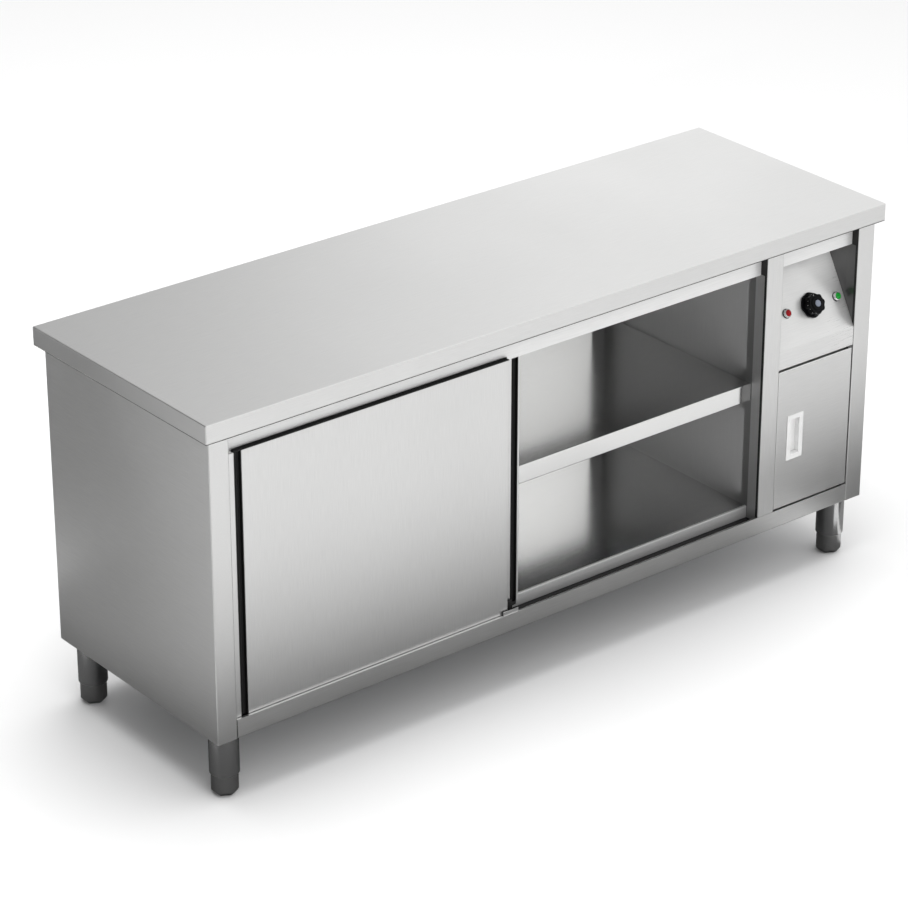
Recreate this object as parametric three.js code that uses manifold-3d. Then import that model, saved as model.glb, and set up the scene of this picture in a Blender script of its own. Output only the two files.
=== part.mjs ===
// Hot cupboard with a worktop, two sliding doors, a control bay and four adjustable legs.
// Millimetres, +Z up. X runs along the length, the front faces -Y, the floor is Z = 0
// and the origin lies on the floor under the middle of the worktop.

import * as THREE from 'three';
import * as BufferGeometryUtils from 'three/addons/utils/BufferGeometryUtils.js';
import Module from 'manifold-3d';

const wasm = await Module();
wasm.setup();

// Driving dimensions of the whole cupboard
const LENGTH = 1800;
const DEPTH = 600;
const HEIGHT = 850;
const WORKTOP_EDGE = 40;
const SIDE_OVERHANG = 15;
const FRONT_OVERHANG = 15;
const BACK_OVERHANG = 18;
const BODY_UNDERSIDE = 143;
const WALL = 47;
const BAY_WIDTH = 224;
const SHEET = 1.5;
const BEND = 2.25;
const BEND_STEPS = 3;
const CLEARANCE = 0.3;

// Driving dimensions of the door zone
const RAIL_SETBACK = 19.5;
const RAIL_HEIGHT = 50;
const LIP_HEIGHT = 42;
const RAIL_RETURN = 10;
const GROOVE_DEPTH = 12;
const FLOOR_LEVEL = 58;
const FLOOR_FOLD = 12;
const CHAMBER_SETBACK = 36.5;
const LINER_SETBACK = 35;
const CEILING_DROP = 35;

// Driving dimensions of the sliding doors
const FRONT_DOOR_UNDER_HALF = 5.5;
const REAR_DOOR_OVER_HALF = 37.5;
const DOOR_THICKNESS = 10;
const DOOR_SHEET = 1.25;
const DOOR_SIDE_GAP = 1.25;
const FRONT_DOOR_SETBACK = 7;
const REAR_DOOR_SETBACK = 25;
const FRONT_DOOR_TOP_LAP = 4;
const FRONT_DOOR_BOTTOM_LAP = 1.5;
const REAR_DOOR_TOP_GAP = 3.5;
const REAR_DOOR_BOTTOM_GAP = 9.5;
const GRIP_WIDTH = 17;
const GRIP_GAUGE = 1;
const FRONT_FLANGE = 15;
const REAR_FLANGE = 5;

// Driving dimensions of the hangers, rollers and track
const HANGER_WIDTH = 60;
const HANGER_GAUGE = 1.5;
const HANGER_INSET = 90;
const HANGER_DROP = 45;
const ROLLER_RADIUS = 8;
const ROLLER_WIDTH = 5;
const ROLLER_SEGMENTS = 24;
const AXLE_RADIUS = 2.5;
const TRACK_GAUGE = 1.25;
const TRACK_DROP = 38.5;

// Driving dimensions of the shelf
const SHELF_RISE = 298;
const SHELF_LIP = 42;
const SHELF_RETURN = 10;
const SHELF_GAP = 1.5;
const LEDGE_LEG = 18;

// Driving dimensions of the control bay
const PANEL_SETBACK = 2;
const PANEL_DROP = 12;
const PANEL_FACE_HEIGHT = 229;
const PANEL_FOOT_HEIGHT = 44;
const PANEL_SLOPE = THREE.MathUtils.degToRad(29.4);
const KNOB_ALONG_SLOPE = 75;
const bay_shares = { redLamp: 0.2321, knob: 0.558, greenLamp: 0.9018 };
const LAMP_RADIUS = 9.5;
const LAMP_BEZEL = 5.5;
const LAMP_DOME = 3;
const KNOB_SKIRT_RADIUS = 29;
const KNOB_GRIP_RADIUS = 22.5;
const KNOB_HEIGHT = 24;
const KNOB_LOBES = 8;

// Driving dimensions of the service door
const SERVICE_GAP_LEFT = 1;
const SERVICE_GAP_RIGHT = 2.5;
const SERVICE_TOP_GAP = 4.5;
const SERVICE_BOTTOM_GAP = 3.5;
const SERVICE_SETBACK = 1;
const SERVICE_DEPTH = 16;
const PIVOT_INSET = 6;
const PIVOT_SETBACK = 4.5;
const PIVOT_RADIUS = 3;
const HANDLE_WIDTH = 48;
const HANDLE_HEIGHT = 108;
const HANDLE_LEFT = 31.5;
const HANDLE_CUP_WIDTH = 25;
const HANDLE_CUP_HEIGHT = 83;
const HANDLE_CUP_DEPTH = 11;

// Driving dimensions of the supply gland
const GLAND_RISE = 60;
const GLAND_THREAD_RADIUS = 9.5;
const GLAND_BORE_RADIUS = 6;
const GLAND_NUT_RADIUS = 12;
const GLAND_HEXAGON_DEPTH = 6;
const GLAND_NUT_DEPTH = 10;

// Driving dimensions of the legs and feet
const LEG_RADIUS = 31;
const LEG_WALL = 2;
const LEG_SIDE_INSET = 60;
const LEG_FRONT_INSET = 62;
const LEG_BACK_INSET = 65;
const LEG_BOTTOM = 49;
const LEG_PLATE = 76;
const LEG_PLATE_GAUGE = 3;
const ROUND_SEGMENTS = 30;
const FOOT_RADIUS = 28;
const FOOT_FLAT = 17;
const SPINDLE_RADIUS = 9;
const SPINDLE_HEADROOM = 25;

// Planes of the body that follow from the driving dimensions
const bodyLeft = -LENGTH / 2 + SIDE_OVERHANG;
const bodyRight = LENGTH / 2 - SIDE_OVERHANG;
const bodyFront = -DEPTH / 2 + FRONT_OVERHANG;
const bodyBack = DEPTH / 2 - BACK_OVERHANG;
const bodyTop = HEIGHT - WORKTOP_EDGE;
const chamberLeft = bodyLeft + WALL;
const bayRight = bodyRight - WALL;
const bayLeft = bayRight - BAY_WIDTH;
const chamberRight = bayLeft - WALL;
const chamberMiddle = (chamberLeft + chamberRight) / 2;
const chamberFront = bodyFront + CHAMBER_SETBACK;
const linerFront = bodyFront + LINER_SETBACK;
const chamberBack = bodyBack - WALL;
const backPlane = bodyBack - SHEET;
const lipTop = BODY_UNDERSIDE + LIP_HEIGHT;
const grooveFloor = lipTop - GROOVE_DEPTH;
const floorTop = BODY_UNDERSIDE + FLOOR_LEVEL;
const foldBottom = floorTop - FLOOR_FOLD;
const ceiling = bodyTop - CEILING_DROP;
const railFace = bodyFront + RAIL_SETBACK;
const railBottom = bodyTop - RAIL_HEIGHT;
const trackTop = bodyTop - SHEET;
const hexSpread = 1 / Math.cos(Math.PI / 6);
const trackLedge = bodyTop - TRACK_DROP;
const shelfLevel = floorTop + SHELF_RISE;
const panelTop = bodyTop - PANEL_DROP;
const panelBreak = panelTop - PANEL_FACE_HEIGHT;
const panelBottom = panelBreak - PANEL_FOOT_HEIGHT;
const serviceTop = panelBottom - SERVICE_TOP_GAP;
const serviceBottom = lipTop + SERVICE_BOTTOM_GAP;
const spindleTop = BODY_UNDERSIDE - SPINDLE_HEADROOM;

// Finishes read from the photograph
function finish(color, roughness, metalness) {
  return new THREE.MeshStandardMaterial({ color, roughness, metalness });
}

const STEEL = finish(0xd6d6d4, 0.35, 0.9);
const INNER_STEEL = finish(0x9c9c9c, 0.4, 0.9);
const GALVANISED = finish(0x8f9498, 0.5, 0.8);
const DARK_STEEL = finish(0x6a6a6a, 0.4, 0.9);
const ALUMINIUM = finish(0xb9bcc0, 0.45, 0.9);
const BLACK_PLASTIC = finish(0x121214, 0.45, 0);
const WHITE_PLASTIC = finish(0xf0f0ee, 0.4, 0);
const NYLON = finish(0xdadad4, 0.5, 0);
const MINERAL_WOOL = finish(0xb9a45c, 0.95, 0);
const ELEMENT_SHEATH = finish(0x55524e, 0.5, 0.8);
const RED_LENS = finish(0x8e1018, 0.2, 0);
const GREEN_LENS = finish(0x1c8a26, 0.2, 0);

const cupboard = new THREE.Group();
cupboard.name = 'hot_cupboard';

function place(geometry, name, material, parent = cupboard) {
  const mesh = new THREE.Mesh(geometry, material);
  mesh.name = name;
  parent.add(mesh);
  return mesh;
}

// Solids for cutting and joining
function toSolid(geometry) {
  const plain = geometry.clone();
  plain.deleteAttribute('normal');
  plain.deleteAttribute('uv');
  const merged = BufferGeometryUtils.mergeVertices(plain, 1e-4);
  return new wasm.Manifold(new wasm.Mesh({
    numProp: 3,
    vertProperties: new Float32Array(merged.attributes.position.array),
    triVerts: new Uint32Array(merged.index.array),
  }));
}

function toGeometry(solid) {
  const mesh = solid.getMesh();
  const geometry = new THREE.BufferGeometry();
  geometry.setAttribute('position', new THREE.BufferAttribute(new Float32Array(mesh.vertProperties), 3));
  geometry.setIndex(new THREE.BufferAttribute(new Uint32Array(mesh.triVerts), 1));
  geometry.computeVertexNormals();
  return geometry;
}

function cut(geometry, ...tools) {
  let solid = toSolid(geometry);
  for (const tool of tools) {
    solid = solid.subtract(toSolid(tool));
  }
  return toGeometry(solid);
}

function join(...geometries) {
  let solid = toSolid(geometries[0]);
  for (const geometry of geometries.slice(1)) {
    solid = solid.add(toSolid(geometry));
  }
  return toGeometry(solid);
}

function block(x0, x1, y0, y1, z0, z1) {
  const geometry = new THREE.BoxGeometry(x1 - x0, y1 - y0, z1 - z0);
  geometry.translate((x0 + x1) / 2, (y0 + y1) / 2, (z0 + z1) / 2);
  return geometry;
}

// Extrusions of a flat section along each axis
function alongZ(shape, z0, z1) {
  const geometry = new THREE.ExtrudeGeometry(shape, { depth: z1 - z0, bevelEnabled: false });
  geometry.translate(0, 0, z0);
  return geometry;
}

function alongX(shape, x0, x1) {
  const geometry = new THREE.ExtrudeGeometry(shape, { depth: x1 - x0, bevelEnabled: false });
  geometry.rotateX(Math.PI / 2);
  geometry.rotateZ(Math.PI / 2);
  geometry.translate(x0, 0, 0);
  return geometry;
}

function alongY(shape, y0, y1) {
  const geometry = new THREE.ExtrudeGeometry(shape, { depth: y1 - y0, bevelEnabled: false });
  geometry.rotateX(Math.PI / 2);
  geometry.translate(0, y1, 0);
  return geometry;
}

// Section of a bent sheet: the path runs along the middle of the sheet and
// every corner becomes a bend
function bentSheet(path, gauge = SHEET, bend = BEND) {
  const points = path.map(([u, v]) => new THREE.Vector2(u, v));
  const line = [];
  points.forEach((point, i) => {
    if (i === 0 || i === points.length - 1) {
      line.push(point);
      return;
    }
    const before = points[i - 1].clone().sub(point).normalize();
    const after = points[i + 1].clone().sub(point).normalize();
    const half = before.angleTo(after) / 2;
    const radius = bend - gauge / 2;
    const reach = radius / Math.tan(half);
    const centre = before.clone().add(after).normalize().multiplyScalar(radius / Math.sin(half)).add(point);
    const start = before.multiplyScalar(reach).add(point).sub(centre);
    const end = after.multiplyScalar(reach).add(point).sub(centre);
    const turn = Math.atan2(start.cross(end), start.dot(end));
    for (let step = 0; step <= BEND_STEPS; step += 1) {
      line.push(start.clone().rotateAround(new THREE.Vector2(), turn * step / BEND_STEPS).add(centre));
    }
  });
  const left = [];
  const right = [];
  line.forEach((point, i) => {
    const ahead = line[Math.min(i + 1, line.length - 1)];
    const behind = line[Math.max(i - 1, 0)];
    const forward = ahead.clone().sub(point).normalize();
    const backward = point.clone().sub(behind).normalize();
    const incoming = i === 0 ? forward : backward;
    const outgoing = i === line.length - 1 ? backward : forward;
    const tangent = incoming.clone().add(outgoing).normalize();
    const normal = new THREE.Vector2(-tangent.y, tangent.x);
    const stretch = gauge / 2 / Math.sqrt((1 + incoming.dot(outgoing)) / 2);
    left.push(normal.clone().multiplyScalar(stretch).add(point));
    right.push(normal.multiplyScalar(-stretch).add(point));
  });
  const outline = left.concat(right.reverse());
  return new THREE.Shape(THREE.ShapeUtils.isClockWise(outline) ? outline.reverse() : outline);
}

// Worktop: a folded tray, open below, with an inward return all round
const returnWidth = SIDE_OVERHANG;
place(
  cut(
    block(-LENGTH / 2, LENGTH / 2, -DEPTH / 2, DEPTH / 2, bodyTop, HEIGHT),
    block(
      -LENGTH / 2 + SHEET, LENGTH / 2 - SHEET, -DEPTH / 2 + SHEET, DEPTH / 2 - SHEET,
      bodyTop + SHEET, HEIGHT - SHEET,
    ),
    block(
      -LENGTH / 2 + returnWidth, LENGTH / 2 - returnWidth,
      -DEPTH / 2 + returnWidth, DEPTH / 2 - returnWidth,
      bodyTop - SHEET, bodyTop + SHEET,
    ),
  ),
  'worktop', STEEL,
);

// Bearers: two channels under the worktop that lie on the side panels and the divider
[-DEPTH / 6, DEPTH / 6].forEach((y, i) => {
  const half = WALL / 2 - SHEET / 2;
  const low = bodyTop;
  const high = HEIGHT - SHEET - SHEET / 2;
  place(
    alongX(bentSheet([[y - half, low], [y - half, high], [y + half, high], [y + half, low]]),
      bodyLeft, bodyRight),
    `worktop_bearer_${i + 1}`, GALVANISED,
  );
});

// Side panels: one folded sheet each, from the back flange round the front post to its return
const backFlange = WALL / 2;
function sidePanel(side) {
  const outer = side * (LENGTH / 2 - SIDE_OVERHANG - SHEET / 2);
  const inner = side * (LENGTH / 2 - SIDE_OVERHANG - WALL + SHEET / 2);
  const flange = side * (LENGTH / 2 - SIDE_OVERHANG - backFlange);
  return alongZ(bentSheet([
    [flange, bodyBack - SHEET / 2],
    [outer, bodyBack - SHEET / 2],
    [outer, bodyFront + SHEET / 2],
    [inner, bodyFront + SHEET / 2],
    [inner, linerFront],
  ]), BODY_UNDERSIDE, bodyTop);
}
place(sidePanel(-1), 'left_side_panel', STEEL);
place(sidePanel(1), 'right_side_panel', STEEL);

// Divider: the middle post and the wall of the control bay in one folded sheet
place(
  cut(
    alongZ(bentSheet([
      [chamberRight + SHEET / 2, linerFront],
      [chamberRight + SHEET / 2, bodyFront + SHEET / 2],
      [bayLeft - SHEET / 2, bodyFront + SHEET / 2],
      [bayLeft - SHEET / 2, backPlane - SHEET],
    ]), BODY_UNDERSIDE + SHEET, bodyTop),
    block(
      chamberRight - WALL, bayLeft + WALL, bodyFront - SHEET, bodyFront + BEND + SHEET,
      BODY_UNDERSIDE, lipTop,
    ),
    block(
      chamberRight - WALL, bayLeft - SHEET, bodyFront - SHEET, linerFront + SHEET,
      BODY_UNDERSIDE, lipTop,
    ),
  ),
  'divider_post', STEEL,
);

// Inner wall of the control bay on the right
place(
  block(bayRight, bayRight + SHEET, linerFront, backPlane - SHEET, BODY_UNDERSIDE + SHEET, bodyTop),
  'bay_side_wall', INNER_STEEL,
);

// Heated chamber: a liner folded round three sides, a floor and a ceiling
const baseWoolTop = grooveFloor - SHEET;
place(
  alongZ(bentSheet([
    [chamberLeft - SHEET / 2, linerFront],
    [chamberLeft - SHEET / 2, chamberBack + SHEET / 2],
    [chamberRight + SHEET / 2, chamberBack + SHEET / 2],
    [chamberRight + SHEET / 2, linerFront],
  ]), baseWoolTop, ceiling),
  'chamber_liner', INNER_STEEL,
);
place(
  cut(
    alongX(bentSheet([
      [chamberFront + SHEET / 2, foldBottom],
      [chamberFront + SHEET / 2, floorTop - SHEET / 2],
      [chamberBack, floorTop - SHEET / 2],
    ]), chamberLeft, chamberRight),
    ...[[chamberLeft - SHEET, chamberLeft + BEND], [chamberRight - BEND, chamberRight + SHEET]]
      .map(([x0, x1]) => block(
        x0, x1, chamberBack - BEND, chamberBack + SHEET, foldBottom, floorTop + SHEET,
      )),
  ),
  'chamber_floor', INNER_STEEL,
);
const trackBay = chamberFront + CHAMBER_SETBACK / 2;
place(
  alongX(bentSheet([
    [trackBay, trackTop],
    [trackBay, ceiling + SHEET / 2],
    [chamberBack + SHEET, ceiling + SHEET / 2],
  ]), chamberLeft - SHEET, chamberRight + SHEET),
  'chamber_ceiling', INNER_STEEL,
);

// Insulation: one tub round the chamber and under the heating elements
const woolLeft = bodyLeft + SHEET;
const woolRight = bayLeft - SHEET;
const woolBack = backPlane - SHEET;
const woolShape = new THREE.Shape([
  new THREE.Vector2(woolLeft, linerFront),
  new THREE.Vector2(chamberLeft - SHEET, linerFront),
  new THREE.Vector2(chamberLeft - SHEET, chamberBack + SHEET),
  new THREE.Vector2(chamberRight + SHEET, chamberBack + SHEET),
  new THREE.Vector2(chamberRight + SHEET, linerFront),
  new THREE.Vector2(woolRight, linerFront),
  new THREE.Vector2(woolRight, woolBack),
  new THREE.Vector2(woolLeft, woolBack),
]);
place(
  join(
    alongZ(woolShape, BODY_UNDERSIDE + SHEET, ceiling),
    block(woolLeft, woolRight, linerFront, woolBack, BODY_UNDERSIDE + SHEET, baseWoolTop),
  ),
  'chamber_insulation', MINERAL_WOOL,
);

// Bottom rail with its lip, and the base pan that runs forward between the posts to meet it
const railReturn = bodyFront + RAIL_RETURN;
place(
  alongX(bentSheet([
    [bodyFront + SHEET / 2, lipTop],
    [bodyFront + SHEET / 2, BODY_UNDERSIDE + SHEET / 2],
    [railReturn, BODY_UNDERSIDE + SHEET / 2],
  ]), chamberLeft, bayRight),
  'bottom_rail', STEEL,
);
const panShape = new THREE.Shape([
  new THREE.Vector2(bodyLeft + SHEET, woolBack),
  new THREE.Vector2(bodyLeft + SHEET, linerFront),
  new THREE.Vector2(chamberLeft, linerFront),
  new THREE.Vector2(chamberLeft, railReturn),
  new THREE.Vector2(bayRight, railReturn),
  new THREE.Vector2(bayRight, linerFront),
  new THREE.Vector2(bodyRight - SHEET, linerFront),
  new THREE.Vector2(bodyRight - SHEET, woolBack),
]);
place(alongZ(panShape, BODY_UNDERSIDE, BODY_UNDERSIDE + SHEET), 'base_pan', GALVANISED);

// Door groove: a sill behind the lip and a riser up to the fold of the chamber floor
place(
  block(
    chamberLeft, chamberRight, bodyFront + SHEET, chamberFront + SHEET, grooveFloor - SHEET, grooveFloor,
  ),
  'door_sill', INNER_STEEL,
);
place(
  block(chamberLeft, chamberRight, chamberFront, chamberFront + SHEET, grooveFloor, foldBottom),
  'sill_riser', INNER_STEEL,
);

// Back panel with cooling slots behind the control bay
const slotCount = 7;
const slotWidth = BAY_WIDTH / 2;
const slotHeight = SHEET * 3;
const slotPitch = slotHeight * 3;
const slotLevel = panelBreak;
const slots = [];
for (let i = 0; i < slotCount; i += 1) {
  const z = slotLevel + i * slotPitch;
  const middle = (bayLeft + bayRight) / 2;
  slots.push(block(
    middle - slotWidth / 2, middle + slotWidth / 2, woolBack - SHEET, backPlane + SHEET, z, z + slotHeight,
  ));
}
const glandX = (bayLeft + bayRight) / 2;
const glandLevel = BODY_UNDERSIDE + GLAND_RISE;
function glandRing(radius, y0, y1, sides) {
  return new THREE.CylinderGeometry(radius, radius, y1 - y0, sides)
    .translate(glandX, (y0 + y1) / 2, glandLevel);
}
place(
  cut(
    block(bodyLeft + BEND * 2, bodyRight - BEND * 2, woolBack, backPlane, BODY_UNDERSIDE, bodyTop),
    glandRing(GLAND_THREAD_RADIUS + CLEARANCE, woolBack - SHEET, backPlane + SHEET, ROLLER_SEGMENTS),
    ...slots,
  ),
  'back_panel', STEEL,
);

// Supply gland: a hexagon and a domed nut outside the panel, a lock nut inside, one bore through all
const glandHexagon = backPlane + GLAND_HEXAGON_DEPTH;
const glandOuter = glandHexagon + GLAND_NUT_DEPTH;
const glandInner = woolBack - GLAND_HEXAGON_DEPTH;
const nutProfile = [
  [0, backPlane],
  [GLAND_NUT_RADIUS, backPlane],
  [GLAND_NUT_RADIUS, glandOuter - GLAND_NUT_DEPTH / 2],
  [GLAND_NUT_RADIUS - GLAND_NUT_DEPTH / 4, glandOuter - GLAND_NUT_DEPTH / 5],
  [GLAND_THREAD_RADIUS - SHEET, glandOuter],
  [0, glandOuter],
].map(([r, y]) => new THREE.Vector2(r, y));
place(
  cut(
    join(
      glandRing(GLAND_THREAD_RADIUS, glandInner - SHEET, glandHexagon, ROLLER_SEGMENTS),
      glandRing(GLAND_NUT_RADIUS * hexSpread, backPlane, glandHexagon, 6),
      glandRing(GLAND_NUT_RADIUS * hexSpread, glandInner, woolBack, 6),
      new THREE.LatheGeometry(nutProfile, ROLLER_SEGMENTS).translate(glandX, 0, glandLevel),
    ),
    glandRing(GLAND_BORE_RADIUS, glandInner - SHEET * 2, glandOuter + SHEET, ROLLER_SEGMENTS),
  ),
  'supply_gland', BLACK_PLASTIC,
);

// Top rails over the doors and over the control bay
function topRail(x0, x1) {
  return alongX(bentSheet([
    [railFace + SHEET / 2, railBottom],
    [railFace + SHEET / 2, bodyTop - SHEET / 2],
    [trackBay, bodyTop - SHEET / 2],
  ]), x0, x1);
}
place(topRail(chamberLeft, chamberRight), 'top_rail', STEEL);
place(topRail(bayLeft, bayRight), 'bay_rail', STEEL);

// Planes of the hangers and rollers, worked out from the door planes
const frontDoorFace = bodyFront + FRONT_DOOR_SETBACK;
const frontDoorBack = frontDoorFace + DOOR_THICKNESS;
const rearDoorFace = bodyFront + REAR_DOOR_SETBACK;
const rearDoorBack = rearDoorFace + DOOR_THICKNESS;
const frontHangerBack = rearDoorFace - 1;
const frontHangerFront = frontHangerBack - HANGER_GAUGE;
const rearHangerBack = rearDoorBack + HANGER_GAUGE;
const rollerLevel = trackLedge + TRACK_GAUGE + CLEARANCE + ROLLER_RADIUS;
const halfOpening = (chamberRight - chamberLeft) / 2;
const frontDoorWidth = halfOpening - FRONT_DOOR_UNDER_HALF;
const frontDoorBottom = lipTop - FRONT_DOOR_BOTTOM_LAP;
const frontDoorTop = railBottom + FRONT_DOOR_TOP_LAP;
const rearDoorWidth = halfOpening + REAR_DOOR_OVER_HALF;
const rearDoorBottom = lipTop + REAR_DOOR_BOTTOM_GAP;
const rearDoorTop = trackLedge - REAR_DOOR_TOP_GAP;

// Door track: one extruded section with a ledge for each row of rollers
const frontWeb = frontHangerBack + ROLLER_WIDTH + SHEET;
const rearWeb = rearHangerBack + ROLLER_WIDTH + SHEET;
const trackSection = new THREE.Shape([
  new THREE.Vector2(frontHangerBack + CLEARANCE, trackLedge),
  new THREE.Vector2(frontWeb + TRACK_GAUGE, trackLedge),
  new THREE.Vector2(frontWeb + TRACK_GAUGE, trackTop - TRACK_GAUGE),
  new THREE.Vector2(rearWeb, trackTop - TRACK_GAUGE),
  new THREE.Vector2(rearWeb, trackLedge + TRACK_GAUGE),
  new THREE.Vector2(rearHangerBack + CLEARANCE, trackLedge + TRACK_GAUGE),
  new THREE.Vector2(rearHangerBack + CLEARANCE, trackLedge),
  new THREE.Vector2(rearWeb + TRACK_GAUGE, trackLedge),
  new THREE.Vector2(rearWeb + TRACK_GAUGE, trackTop),
  new THREE.Vector2(railFace + SHEET + BEND, trackTop),
  new THREE.Vector2(railFace + SHEET + BEND, trackTop - TRACK_GAUGE),
  new THREE.Vector2(frontWeb, trackTop - TRACK_GAUGE),
  new THREE.Vector2(frontWeb, trackLedge + TRACK_GAUGE),
  new THREE.Vector2(frontHangerBack + CLEARANCE, trackLedge + TRACK_GAUGE),
]);
place(alongX(trackSection, chamberLeft, chamberRight), 'door_track', ALUMINIUM);

// Centre guide: an upright leg before the front door and one between the doors
const guideLength = 40;
const guideTop = lipTop + LIP_HEIGHT / 5;
const guideFront = bodyFront + SHEET + SHEET / 2;
const guideMiddle = (frontDoorBack + rearDoorFace) / 2;
place(
  alongX(bentSheet([
    [guideFront, guideTop],
    [guideFront, grooveFloor + SHEET / 2],
    [guideMiddle, grooveFloor + SHEET / 2],
    [guideMiddle, guideTop + FLOOR_FOLD],
  ]), chamberMiddle - guideLength / 2, chamberMiddle + guideLength / 2),
  'centre_guide', STEEL,
);

// Sliding door: a folded skin and a narrow folded edge stand on the inner sheet and leave the
// full-height grip channel between them. A dark ribbed liner fills the channel, and two roller
// hangers carry the inner sheet. Local X starts at the left edge, local Y at the face and local Z
// at the bottom edge.
function foldedPan(x0, x1, height) {
  const half = DOOR_SHEET / 2;
  const deep = DOOR_THICKNESS - DOOR_SHEET;
  return join(
    alongZ(bentSheet([[x0 + half, deep], [x0 + half, half], [x1 - half, half], [x1 - half, deep]],
      DOOR_SHEET, DOOR_SHEET * 1.5), 0, height),
    block(x0 + half, x1 - half, half, deep, 0, DOOR_SHEET),
    block(x0 + half, x1 - half, half, deep, height - DOOR_SHEET, height),
  );
}
function slidingDoor(name, width, height, flange, gripOnLeft, hangerPath, rollerPlane) {
  const group = new THREE.Group();
  const deep = DOOR_THICKNESS - DOOR_SHEET;
  const flip = (x) => (gripOnLeft ? x : width - x);
  const pan = (x0, x1) => foldedPan(Math.min(flip(x0), flip(x1)), Math.max(flip(x0), flip(x1)), height);
  place(pan(flange + GRIP_WIDTH, width), `${name}_skin`, STEEL, group);
  place(pan(0, flange), `${name}_edge`, STEEL, group);
  place(block(0, width, deep, DOOR_THICKNESS, 0, height), `${name}_inner`, INNER_STEEL, group);
  const gripIn = flange + CLEARANCE;
  const gripOut = flange + GRIP_WIDTH - CLEARANCE;
  const gripMiddle = (gripIn + gripOut) / 2;
  const gripFront = DOOR_SHEET;
  const ribHalf = GRIP_GAUGE;
  const gripPoints = [
    [gripIn, gripFront],
    [gripIn + GRIP_GAUGE, gripFront],
    [gripIn + GRIP_GAUGE, deep - GRIP_GAUGE],
    [gripMiddle - ribHalf, deep - GRIP_GAUGE],
    [gripMiddle - ribHalf, deep - GRIP_GAUGE * 2],
    [gripMiddle + ribHalf, deep - GRIP_GAUGE * 2],
    [gripMiddle + ribHalf, deep - GRIP_GAUGE],
    [gripOut - GRIP_GAUGE, deep - GRIP_GAUGE],
    [gripOut - GRIP_GAUGE, gripFront],
    [gripOut, gripFront],
    [gripOut, deep],
    [gripIn, deep],
  ].map(([x, y]) => new THREE.Vector2(flip(x), y));
  place(alongZ(new THREE.Shape(gripPoints), 0, height), `${name}_grip`, BLACK_PLASTIC, group);
  [HANGER_INSET, width - HANGER_INSET].forEach((middle, i) => {
    const bracket = alongX(
      bentSheet(hangerPath, HANGER_GAUGE, HANGER_GAUGE * 1.25),
      middle - HANGER_WIDTH / 2, middle + HANGER_WIDTH / 2,
    );
    const plate = hangerPath[hangerPath.length - 1][0];
    const axleHeight = rollerPlane;
    const roller = new THREE.CylinderGeometry(ROLLER_RADIUS, ROLLER_RADIUS, ROLLER_WIDTH, ROLLER_SEGMENTS);
    roller.translate(middle, plate + HANGER_GAUGE / 2 + GRIP_GAUGE / 2 + ROLLER_WIDTH / 2, axleHeight);
    const axleLength = HANGER_GAUGE / 2 + GRIP_GAUGE / 2 + ROLLER_WIDTH;
    const axle = new THREE.CylinderGeometry(AXLE_RADIUS, AXLE_RADIUS, axleLength, ROLLER_SEGMENTS);
    axle.translate(middle, plate + axleLength / 2, axleHeight);
    place(join(bracket, axle, roller), `${name}_hanger_${i + 1}`, GALVANISED, group);
  });
  return group;
}

const hangerStep = railBottom - SHEET * 2;
const frontHeight = frontDoorTop - frontDoorBottom;
const frontDoor = slidingDoor(
  'front_door', frontDoorWidth, frontHeight, FRONT_FLANGE, true,
  [
    [DOOR_THICKNESS + HANGER_GAUGE / 2, hangerStep - HANGER_DROP - frontDoorBottom],
    [DOOR_THICKNESS + HANGER_GAUGE / 2, hangerStep - frontDoorBottom],
    [frontHangerFront + HANGER_GAUGE / 2 - frontDoorFace, hangerStep - frontDoorBottom],
    [frontHangerFront + HANGER_GAUGE / 2 - frontDoorFace, rollerLevel + ROLLER_RADIUS - frontDoorBottom],
  ],
  rollerLevel - frontDoorBottom,
);
frontDoor.position.set(chamberLeft + DOOR_SIDE_GAP, frontDoorFace, frontDoorBottom);
cupboard.add(frontDoor);

const rearHeight = rearDoorTop - rearDoorBottom;
const rearDoor = slidingDoor(
  'rear_door', rearDoorWidth, rearHeight, REAR_FLANGE, false,
  [
    [DOOR_THICKNESS + HANGER_GAUGE / 2, hangerStep - HANGER_DROP - rearDoorBottom],
    [DOOR_THICKNESS + HANGER_GAUGE / 2, rollerLevel + ROLLER_RADIUS - rearDoorBottom],
  ],
  rollerLevel - rearDoorBottom,
);
rearDoor.position.set(chamberLeft + DOOR_SIDE_GAP, rearDoorFace, rearDoorBottom);
cupboard.add(rearDoor);

// Middle shelf: a tray with lips front and back, on a ledge at each end
const shelfBack = chamberBack - SHELF_LIP / 2;
place(
  alongX(bentSheet([
    [chamberFront + SHELF_RETURN, shelfLevel - SHELF_LIP + SHEET / 2],
    [chamberFront + SHEET / 2, shelfLevel - SHELF_LIP + SHEET / 2],
    [chamberFront + SHEET / 2, shelfLevel - SHEET / 2],
    [shelfBack, shelfLevel - SHEET / 2],
    [shelfBack, shelfLevel - SHELF_LIP + SHEET / 2],
    [shelfBack - SHELF_RETURN, shelfLevel - SHELF_LIP + SHEET / 2],
  ]), chamberLeft + SHELF_GAP, chamberRight - SHELF_GAP),
  'shelf', STEEL,
);
const ledgeTop = shelfLevel - SHEET;
[[chamberLeft, 1, 'left'], [chamberRight, -1, 'right']].forEach(([wall, side, label]) => {
  place(
    alongY(bentSheet([
      [wall + side * SHEET / 2, ledgeTop - LEDGE_LEG],
      [wall + side * SHEET / 2, ledgeTop - SHEET / 2],
      [wall + side * LEDGE_LEG, ledgeTop - SHEET / 2],
    ]), chamberFront + SHELF_RETURN * 2, shelfBack - SHELF_RETURN * 2),
    `shelf_ledge_${label}`, GALVANISED,
  );
});

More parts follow.
